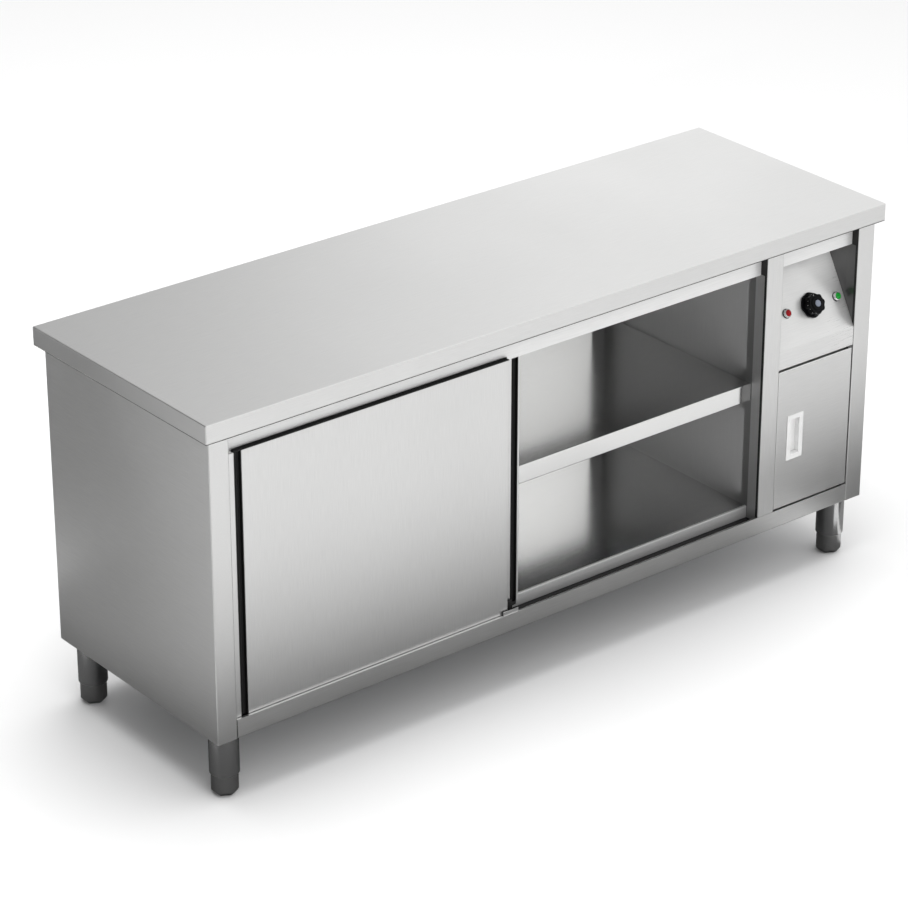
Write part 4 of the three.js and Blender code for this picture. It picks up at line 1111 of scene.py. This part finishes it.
@dataclass
class ControlPanel(Assembly):
    """The leaning panel with its lamps, thermostat knob and dial."""

    slope: float = math.radians(29.4)
    foot_height: float = 44 * MM
    flange: float = 23.5 * MM
    along: float = 75 * MM
    base: float = HALF + 0.3 * MM
    lamp_radius: float = 9.5 * MM
    lens_radius: float = 7.0 * MM
    shaft_hole: float = 4 * MM
    bezel_height: float = 7.4 * MM
    dome: float = 1.6 * MM
    lobes: int = 8
    skirt_radius: float = 29 * MM
    skirt_hollow: float = 1.2 * MM
    skirt_height: float = 3 * MM
    grip_radius: float = 25 * MM
    grip_hollow: float = 2.6 * MM
    grip_taper: float = 0.94
    knob_height: float = 24 * MM
    first_mark: float = 100
    mark_step: float = 25
    mark_count: int = 13

    def __post_init__(self) -> None:
        """Works out the slope's frame."""
        self.normal = Vector((0, -math.cos(self.slope), math.sin(self.slope)))
        self.up = Vector((0, math.sin(self.slope), math.cos(self.slope)))
        self.fold = Vector((0, PANEL_LOW.y + HALF, PANEL_LOW.z + self.foot_height))

    def on_slope(self, node: str) -> Matrix:
        """A place on the slope at the height of the controls, whose +Z stands off the panel.

        Args:
            node: The node that it lies at along the cupboard.

        Returns:
            The matrix of that place.
        """
        point = self.fold + self.up * self.along
        return facing((middle_of(node).x, point.y, point.z), tuple(self.normal))

    def panel(self) -> None:
        """Folds the panel and drills it for the lamps and the shaft."""
        front, level, top = self.fold.y, PANEL_LOW.z + HALF, PANEL_HIGH.z - HALF
        lean = math.tan(self.slope) * (PANEL_HIGH.z - self.fold.z)
        piece = fold_sheet("control_fascia", [
            (PANEL_LOW.y + self.flange, level), (front, level), (front, self.fold.z),
            (front + lean, top), (PANEL_HIGH.y, top)], PANEL_LOW.x, PANEL_HIGH.x, Axis.X)
        lens_hole = self.lens_radius + 0.6 * MM
        for node, radius in (("pilot_bezel_red", lens_hole), ("pilot_bezel_green", lens_hole),
                             ("thermostat_knob", self.shaft_hole)):
            clear_selection()
            bpy.ops.mesh.primitive_cylinder_add(vertices=48, radius=radius, depth=10 * MM)
            cutter = bpy.context.object
            cutter.matrix_world = self.on_slope(node)
            cut_out(piece, cutter)
        self.dress(piece, SATIN, "control_panel")

    def lamp(self, colour: str, finish: Finish) -> None:
        """Turns one pilot lamp.

        Args:
            colour: The lamp's colour in the node names.
            finish: What its lens looks like.
        """
        node = f"pilot_bezel_{colour}"
        place = self.on_slope(node)
        base, radius, lens = self.base, self.lamp_radius, self.lens_radius
        top, barrel, bore = base + self.bezel_height, radius * 0.75, lens + 0.35 * MM
        self.dress(lathe(f"lamp_bezel_{colour}", [
            (0, -radius * 2.5), (barrel, -radius * 2.5), (barrel, base), (radius, base),
            (radius, top - 1.6 * MM), (radius - 0.5 * MM, top - 0.6 * MM), (radius - 1.4 * MM, top),
            (lens + 0.9 * MM, top), (bore, top - 0.8 * MM), (bore, base), (0, base)], place, 72),
            CHROME, node)
        inner, collar, crest = radius + 0.1 * MM, radius + 1.3 * MM, base + 1.3 * MM
        self.dress(lathe(f"lamp_gasket_{colour}", [
            (inner, HALF), (collar, HALF), (collar, crest - 0.5 * MM), (collar - 0.5 * MM, crest),
            (inner, crest), (inner, HALF)], place, 48), RUBBER)
        foot = base + 0.3 * MM
        rim = foot + self.bezel_height
        turns = [math.radians(step * 9) for step in range(1, 10)]
        self.dress(lathe(f"lamp_lens_{colour}", [
            (0, foot), (lens, foot), (lens, rim),
            *((lens * math.cos(turn), rim + self.dome * math.sin(turn)) for turn in turns),
            (0, rim + self.dome)], place, 48), finish, f"pilot_lens_{colour}")

    def lobed(self, radius: float, hollow: float, bottom: float, top: float,
              taper: float) -> Piece:
        """Draws a lobed column, as a hand grip has.

        Args:
            radius: Radius over the lobes.
            hollow: Depth of the hollows between them.
            bottom: Height of its foot over the panel's sheet.
            top: Height of its top.
            taper: How much narrower its top is.

        Returns:
            The column, round its own axis.
        """
        steps = 6
        corners = self.lobes * steps * 2
        clear_selection()
        bpy.ops.mesh.primitive_circle_add(vertices=corners, radius=radius, fill_type="NGON",
                                          location=(0, 0, bottom))
        piece = bpy.context.object
        fix(piece)
        with editing(piece):
            for step in range(1, steps + 1):
                share = 1 - hollow / radius * (1 - math.cos(math.pi * step / steps)) / 2

                def is_off(vert: bmesh.types.BMVert, step: int = step) -> bool:
                    """Whether a corner lies this many steps from the nearest crest.

                    Args:
                        vert: The corner.
                        step: The number of steps.

                    Returns:
                        Whether it does.
                    """
                    off = round(math.atan2(vert.co.y, vert.co.x) / math.tau * corners) % (steps * 2)
                    return min(off, steps * 2 - off) == step

                pick(piece, "verts", is_off)
                bpy.ops.transform.resize(value=(share, share, 1), center_override=(0, 0, bottom))
            bpy.ops.mesh.select_all(action="SELECT")
            rim = (top - bottom) * 0.08
            for rise, share in ((top - bottom - rim, taper), (rim, 0.96)):
                extrude(0, 0, rise)
                bpy.ops.transform.resize(value=(share, share, 1))
        make_outward(piece)
        return soften(piece, 0.5 * MM, 2, 40)

    def knob(self) -> None:
        """Makes the thermostat knob with its dial and cap."""
        place = self.on_slope("thermostat_knob")
        base = self.base + SHEET
        skirt_top, top = base + self.skirt_height, base + self.knob_height
        foot, crest = skirt_top - 0.2 * MM, top - self.skirt_height
        skirt = self.lobed(self.skirt_radius, self.skirt_hollow, base, skirt_top, 0.985)
        grip = self.lobed(self.grip_radius, self.grip_hollow, foot, crest, self.grip_taper)
        crown = lathe("knob_crown", [
            (0, crest - MM), (16 * MM, crest - MM), (15.5 * MM, top - 1.6 * MM),
            (14 * MM, top - 0.7 * MM), (7.8 * MM, top - 0.6 * MM), (7.8 * MM, top - 1.4 * MM),
            (0, top - 1.4 * MM)], Matrix.Identity(4))
        name = "thermostat_dial"
        self.dress(settle(join_pieces(name, [skirt, grip, crown]), name, place), BLACK,
                   "thermostat_knob", body="knob")
        self.dress(lathe("dial_cap", [
            (0, top - 1.35 * MM), (7.4 * MM, top - 1.35 * MM), (7.4 * MM, top + 0.1 * MM),
            (6.9 * MM, top + 0.5 * MM), (4.6 * MM, top + 0.7 * MM), (0, top + 0.75 * MM)],
            place, 48), CAP, body="knob")
        # The grey ticks stand where the grip's lobes glint: printed marks and painted glints at
        # once.
        marks = []
        for step in range(self.mark_count):
            turn = self.first_mark + step * self.mark_step
            wave = (1 - math.cos(self.lobes * math.radians(turn))) / 2
            reach = (self.grip_radius - self.grip_hollow * wave) * (1 - 0.8 * (1 - self.grip_taper))
            level = foot + (crest - foot) * 0.72
            tall = (3.2 if step % 3 == 0 else 2.4) * MM
            mark = block((reach - 0.6 * MM, -0.9 * MM, level - tall / 2),
                         (reach + 0.15 * MM, 0.9 * MM, level + tall / 2))
            fix(soften(mark, 0.08 * MM), about_z(turn))
            marks.append(mark)
        pointer = block((self.grip_radius - 7 * MM, -0.6 * MM, crest - 0.1 * MM),
                        (self.grip_radius - 3.6 * MM, 0.6 * MM, crest + 0.15 * MM))
        fix(soften(pointer, 0.1 * MM), about_z(self.first_mark))
        name = "dial_ticks"
        self.dress(settle(join_pieces(name, [*marks, pointer]), name, place), MARKS_AND_GLINTS, body="knob")

    def build(self) -> None:
        """Makes the panel and its controls."""
        self.panel()
        self.lamp("red", RED)
        self.lamp("green", GREEN)
        self.knob()


@dataclass
class ServiceDoor(Assembly):
    """The door under the controls with its flush pull."""

    corner: float = 1.8 * MM
    window_inset: float = 9.6 * MM
    frame_width: float = 11.5 * MM
    cup_slope: float = 1.2 * MM
    cup_taper: Place = (0.93, 1, 0.975)

    def build(self) -> None:
        """Makes the door's skin and its pull."""
        low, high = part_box("service_door_skin")
        pull_low, pull_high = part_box("service_door_pull")
        inset = Vector((self.window_inset, 0, self.window_inset))
        window = block(Vector((pull_low.x, low.y - 5 * MM, pull_low.z)) + inset,
                       Vector((pull_high.x, low.y + 5 * MM, pull_high.z)) - inset)
        self.dress(tray("service_door_face", low, high, (0, 1, 0), SHEET, self.corner, 0.0,
                        [window]), BRUSHED, "service_door_skin", body="service_door")
        piece = block(pull_low, (pull_high.x, low.y, pull_high.z))
        with editing(piece):
            pick(piece, "faces", lambda face: face.normal.y < -SQUARE_ON)
            bpy.ops.mesh.inset(thickness=self.frame_width)
            extrude(0, pull_high.y - pull_low.y - SHEET, 0)
            bpy.ops.transform.resize(value=self.cup_taper)
            pick(piece, "faces", lambda face: face.normal.y > SQUARE_ON
                 and abs(face.calc_center_median().y - low.y) < SLIVER)
            bpy.ops.mesh.inset(thickness=self.frame_width - self.cup_slope)
            extrude(0, pull_high.y - low.y, 0)
        make_outward(piece)
        self.dress(settle(soften(piece, 0.9 * MM, 3, 40), "flush_pull"), WHITE,
                   "service_door_pull", body="service_door")


@dataclass
class Legs(Assembly):
    """Four tubular legs with their plates, bolts and adjustable feet."""

    radius: float = 31 * MM
    wall: float = 2 * MM
    roll: float = 1.2 * MM
    bottom: float = 49 * MM
    plate: float = 76 * MM
    gauge: float = 3 * MM
    foot_radius: float = 28 * MM
    flat: float = 17 * MM
    spindle: float = 9 * MM
    bolt_radius: float = 5.2 * MM
    bolt_height: float = 3.6 * MM
    bolt_place: float = 0.82

    def tube(self, number: int, x: float, y: float, top: float) -> None:
        """Turns one leg with its plate and bolts.

        Args:
            number: The leg's number.
            x: Its place along the cupboard.
            y: Its place in depth.
            top: The height where it meets the body.
        """
        bore, under = self.spindle + 0.3 * MM, top - self.gauge
        inner, inside = self.radius - self.wall, self.bottom + self.radius
        turns = [math.radians(step * 22.5) for step in range(5)]
        tube = lathe("tube", [
            (bore, self.bottom),
            *((self.radius - self.roll * (1 - math.sin(turn)),
               self.bottom + self.roll * (1 - math.cos(turn))) for turn in turns),
            (self.radius, under), (inner, under), (inner, inside), (bore, inside),
            (bore, self.bottom)], Matrix.Translation((x, y, 0)), 96)
        half, out = self.plate / 2, self.plate / 2 * self.bolt_place
        plate = block((x - half, y - half, under), (x + half, y + half, top))
        with editing(plate):
            pick(plate, "edges", lambda edge: abs(edge.verts[0].co.z - edge.verts[1].co.z) > MM)
            bpy.ops.mesh.bevel(offset=6 * MM, segments=5)
        settle(soften(plate, 0.3 * MM), "plate")
        self.dress(join_pieces(f"leg_tube_{number}", [tube, plate]), TURNED, f"leg_{number}")
        heads = []
        for side, deep in ((-1, -1), (-1, 1), (1, -1), (1, 1)):
            clear_selection()
            bpy.ops.mesh.primitive_cylinder_add(
                vertices=6, radius=self.bolt_radius, depth=self.bolt_height,
                location=(x + side * out, y + deep * out, under - self.bolt_height / 2))
            head = bpy.context.object
            with editing(head):
                pick(head, "faces", lambda face: face.normal.z < -SQUARE_ON)
                bpy.ops.mesh.inset(thickness=0.7 * MM)
                bpy.ops.transform.translate(value=(0, 0, -0.3 * MM))
            heads.append(settle(soften(head, 0.2 * MM), "head"))
        self.dress(join_pieces(f"leg_bolts_{number}", heads), ZINC)

    def foot(self, number: int, x: float, y: float, top: float) -> None:
        """Turns one foot and cuts its six flats.

        Args:
            number: The leg's number.
            x: Its place along the cupboard.
            y: Its place in depth.
            top: Top of its spindle.
        """
        rim, radius, spindle = self.bottom - 0.3 * MM, self.foot_radius, self.spindle
        piece = lathe("foot", [
            (0, 0), (radius, 0), (radius, rim - 1.2 * MM), (radius - 0.4 * MM, rim - 0.3 * MM),
            (radius - 1.2 * MM, rim), (spindle, rim), (spindle, top - SHEET),
            (spindle - SHEET, top), (0, top)], Matrix.Identity(4), 96)
        for side in range(6):
            turn = math.radians(60 * side)
            across, deep = math.cos(turn), math.sin(turn)
            with editing(piece, whole=True):
                bpy.ops.mesh.bisect(plane_co=(self.flat * across, self.flat * deep, 0),
                                    plane_no=Vector((across, deep, -1)).normalized(),
                                    use_fill=True, clear_outer=True)
        make_outward(piece)
        settle(soften(piece, 0.5 * MM, 2, 25), f"foot_base_{number}",
               Matrix.Translation((x, y, 0)), 28)
        self.dress(piece, CAST, f"foot_{number}", body=f"foot_{number}")

    def build(self) -> None:
        """Makes the four legs."""
        for number in range(1, 5):
            x, y, _ = middle_of(f"leg_{number}")
            self.tube(number, x, y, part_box(f"leg_{number}")[1].z)
            self.foot(number, x, y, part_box(f"foot_{number}")[1].z)


@dataclass
class Fasteners(Assembly):
    """Small screws that hold the back panel."""

    radius: float = 3.6 * MM
    rise: float = 0.9 * MM
    slot: float = 0.4 * MM
    edge: float = 14 * MM
    columns: int = 7

    def head(self, place: Place) -> Piece:
        """Makes a pan head with a cross slot, facing back.

        Args:
            place: Where it sits.

        Returns:
            The head.
        """
        radius, rise = self.radius, self.rise
        head = lathe("head", [
            (0, -0.2 * MM), (radius, -0.2 * MM), (radius, rise * 0.3),
            (radius * 0.82, rise * 0.75), (radius * 0.45, rise), (0, rise)],
            Matrix.Identity(4), 24)
        for turn in (0, 90):
            slot = block((-radius * 0.5, -self.slot, rise * 0.35),
                         (radius * 0.5, self.slot, rise * 2))
            slot.matrix_world = about_z(turn)
            cut_out(head, slot)
        return settle(head, "head", facing(place, (0, 1, 0)))

    def build(self) -> None:
        """Makes the rows of screws along the panel's upper and lower edge."""
        low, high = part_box("back_panel")
        pitch = (high.x - low.x - 2 * self.edge) / (self.columns - 1)
        heads = [self.head((low.x + self.edge + pitch * column, high.y, z))
                 for column in range(self.columns) for z in (low.z + self.edge, high.z - self.edge)]
        self.dress(join_pieces("back_screws", heads), ZINC)


CARRIED: dict[Finish, tuple[str, ...]] = {
    ZINC: ("worktop_bearer_1", "worktop_bearer_2", "base_pan", "shelf_ledge_left",
           "shelf_ledge_right", "front_door_hanger_1", "front_door_hanger_2", "rear_door_hanger_1",
           "rear_door_hanger_2"),
    # Painted shade: the bay's side wall and the pivots take the near-black steel.
    PAINTED_SHADE_SATIN: ("bay_side_wall", "service_pivot_top", "service_pivot_bottom"),
    # Painted shade: the chamber's ceiling takes the dark cheek steel.
    PAINTED_SHADE_CHEEK: ("chamber_ceiling",),
    DECK: ("door_sill", "front_door_inner", "rear_door_inner", "service_door_pan"),
    # Painted shade: the sill's riser takes the darker flange steel.
    PAINTED_SHADE_FLANGE: ("sill_riser",),
    BRUSHED: ("back_panel",),
    WOOL: ("chamber_insulation",),
    EXTRUDED: ("door_track",),
    SHEATH: ("heating_element_1", "heating_element_2"),
    BLACK: ("thermostat_body", "supply_gland"),
    WHITE: ("terminal_block", "service_door_catch"),
}


class Carried(Assembly):
    """The frame's own solids that keep their shape."""

    def build(self) -> None:
        """Gives each of them its finish."""
        for finish, nodes in CARRIED.items():
            for node in nodes:
                WARDROBE.wear(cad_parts[node], finish)
                LOG.info("Carried: %s", node)


@dataclass
class Studio:
    """The pale floor, the soft lights, the flags that paint shade into reflections, and the camera.
    """

    camera_place: Place = (-4.2611, -5.22574, 3.67858)
    pitch: float = 25.888
    yaw: float = 38.796
    lens: float = 139.05
    floor_tone: float = 0.93
    reflected_shade_tone: float = 0.03
    card_rise: float = 2 * MM
    bright_side: Place = (0.72, -0.55, 0.2)
    bright_level: float = 1.18
    dark_level: float = 0.22
    dark_until: float = -0.2
    bright_from: float = 0.26
    key_power: float = 200.0
    glow_power: float = 4.5
    chamber_power: float = 1.75
    fill_width: float = 0.6
    fill_height: float = 0.8
    recess_power: float = 0.05
    strip_spread: float = math.radians(150)

    def plane(self, name: str, low: Flat, high: Flat, level: float,
              material: bpy.types.Material) -> Piece:
        """Lays a flat stage piece.

        Args:
            name: Its name.
            low: Its lowest corner.
            high: Its highest corner.
            level: Its height.
            material: What it looks like.

        Returns:
            The piece.
        """
        clear_selection()
        bpy.ops.mesh.primitive_plane_add(size=1, location=(
            (low[0] + high[0]) / 2, (low[1] + high[1]) / 2, level))
        piece = bpy.context.object
        piece.scale = (high[0] - low[0], high[1] - low[1], 1)
        fix(piece)
        piece.name = name
        piece.data.materials.append(material)
        return piece

    def floor(self) -> None:
        """Lays a wide pale floor."""
        tone = (self.floor_tone,) * 3
        self.plane("studio_floor", (-30, -30), (30, 30), 0, Paint("studio_floor").coat(
            {"Roughness": 0.9, "Base Color": (*tone, 1.0)}))

    def flag(self, name: str, low: Flat, high: Flat, fade: Place, start: float, stop: float,
             strength: float) -> None:
        """Lays a dark card of painted shade that only shows in reflections, and fades out away from
        the object.

        Args:
            name: The card's name.
            low: Its lowest corner on the floor.
            high: Its highest corner.
            fade: Direction in which it fades.
            start: Distance along that direction where it is darkest.
            stop: Distance where it has faded out.
            strength: How dark it is, from 0 to 1.
        """
        paint = Paint(name)
        paint.tree.nodes.clear()
        tone = (self.reflected_shade_tone,) * 3
        mix = paint.add("ShaderNodeMixShader", {
            0: paint.ramp(paint.place(), fade, strength, 0.0, start, stop),
            1: paint.add("ShaderNodeBsdfTransparent", {}),
            2: paint.add("ShaderNodeBsdfDiffuse", {"Color": (*tone, 1.0)})})
        paint.fill(paint.tree.nodes.new("ShaderNodeOutputMaterial"), {"Surface": mix})
        card = self.plane(name, low, high, self.card_rise, paint.material)
        card.visible_camera = False
        card.visible_diffuse = False
        card.visible_shadow = False
        card.visible_transmission = False

    def flags(self) -> None:
        """Lays the cards round the object's feet, edge to edge and never over each other."""
        # Painted shade: each card darkens the floor that the metal reflects, not the floor that is
        # seen.
        ahead, gap, back = (0, -1, 0), 0.95, 0.75
        even = (1.0, 2.0)  # starts beyond the card, which is then equally dark all over
        for name, low, high, fade, start, stop, strength in (
                ("front_flag", (-1.2, -1.6), (0.79, -0.42), ahead, 0.45, 1.15, 0.9),
                ("far_flag", (0.79, -1.6), (2.3, -0.56), ahead, 0.62, 0.98, 0.94),
                ("near_flag", (gap, -0.56), (2.3, -0.42), ahead, *even, 0.94),
                ("left_flag", (-1.2, -0.3), (-1.08, back), ahead, *even, 0.7),
                ("leg_flag", (-1.2, -0.42), (0.9, -0.3), ahead, *even, 0.9),
                ("under_flag", (-1.08, -0.3), (0.9, back), ahead, *even, 0.88),
                ("right_flag", (gap, -0.42), (3.4, 2.4), (1, 0, 0), 2.4, 3.4, 0.7),
                ("side_flag", (-3.4, -0.6), (-1.2, 2.8), (-0.79, -0.61, 0), 0.4, 1.5, 0.94),
                ("corner_flag", (-2.8, -2.4), (-1.2, -0.6), ahead, 2.0, 2.4, 0.7)):
            self.flag(name, low, high, fade, start, stop, strength)

    def light(self, name: str, place: Place, aim: Place, size: float, power: float,
              tall: float = 0.0) -> Piece:
        """Adds one soft light.

        Args:
            name: The light's name.
            place: Where it hangs.
            aim: The point that it faces.
            size: Its width.
            power: Its strength in watts.
            tall: Height of a strip that leaves gloss alone, or 0 for a round light.

        Returns:
            The light.
        """
        data = bpy.data.lights.new(name, "AREA")
        data.shape = "RECTANGLE" if tall else "DISK"
        data.size = size
        data.energy = power
        if tall:
            data.size_y = tall
            data.spread = self.strip_spread
        lamp = bpy.data.objects.new(name, data)
        bpy.context.scene.collection.objects.link(lamp)
        lamp.location = place
        lamp.rotation_euler = (Vector(aim) - Vector(place)).to_track_quat("-Z", "Y").to_euler()
        lamp.visible_camera = False
        lamp.visible_glossy = not tall
        return lamp

    def lights(self) -> None:
        """Hangs the lamps over, behind and inside the cupboard."""
        key = self.light("key", (-0.6, 0.3, 5.5), (0, 0, 0), 4.0, self.key_power)
        key.visible_glossy = False
        glow = self.light("rear_glow", (3.7, 4.3, 2.3), (0, 0, TOP_HIGH.z), 2.2, self.glow_power)
        glow.visible_diffuse = False
        wide = (LINER_HIGH.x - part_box("rear_door_edge")[1].x) * self.fill_width
        middle = LINER_HIGH.x - SHEET - wide / 2
        for name, low, high in (("upper_fill", SHELF_HIGH.z, LINER_HIGH.z),
                                ("lower_fill", FLOOR_HIGH.z, SHELF_LOW.z)):
            level, tall = (low + high) / 2, (high - low) * self.fill_height
            self.light(name, (middle, RAIL_HIGH.y, level), (middle, LINER_HIGH.y, level), wide,
                       self.chamber_power, tall)
        over = (PANEL_LOW.x + 5 * PANEL_HIGH.x) / 6
        self.light("recess_fill", (over, BAY_LOW.y - 4 * MM, BAY_LOW.z - 6 * MM),
                   (over, BAY_LOW.y + 0.1, BAY_LOW.z - 0.09), 0.06, self.recess_power, 0.02)

    def world(self) -> None:
        """Surrounds the scene with pale light that is stronger from one side."""
        world = bpy.data.worlds.new("studio")
        world.use_nodes = True
        nodes = Nodes(world.node_tree)
        nodes.fill(world.node_tree.nodes["Background"], {
            "Color": (1, 1, 1, 1),
            "Strength": nodes.ramp(nodes.place("Generated"), Vector(self.bright_side).normalized(),
                                   self.dark_level, self.bright_level, self.dark_until,
                                   self.bright_from)})
        bpy.context.scene.world = world

    def camera(self) -> None:
        """Sets the camera where the photograph was taken from."""
        data = bpy.data.cameras.new("view")
        data.lens = self.lens
        data.sensor_width = 36
        data.sensor_fit = "HORIZONTAL"
        data.clip_end = 200
        viewer = bpy.data.objects.new("view", data)
        viewer.location = self.camera_place
        viewer.rotation_euler = (math.radians(90 - self.pitch), 0, math.radians(-self.yaw))
        bpy.context.scene.collection.objects.link(viewer)
        bpy.context.scene.camera = viewer

    def build(self) -> None:
        """Sets up the whole studio."""
        self.floor()
        self.flags()
        self.world()
        self.lights()
        self.camera()
        bpy.context.scene.view_settings.view_transform = "Standard"


def main() -> None:
    """Builds the cupboard from its assemblies and lights it."""
    logging.basicConfig(level=logging.INFO, format="%(message)s")
    Studio().build()
    for assembly in (
            Worktop(), Carcass(), Seals(), Shelf(), CentreGuide(),
            # The rear door's black shoe is painted shade under that door.
            SlidingDoor("front_door", BRUSHED, 3 * MM), SlidingDoor("rear_door", RUBBER, 0),
            ControlPanel(), ServiceDoor(), Legs(), Fasteners(), Carried()):
        assembly.build()


if __name__ == "__main__":
    main()
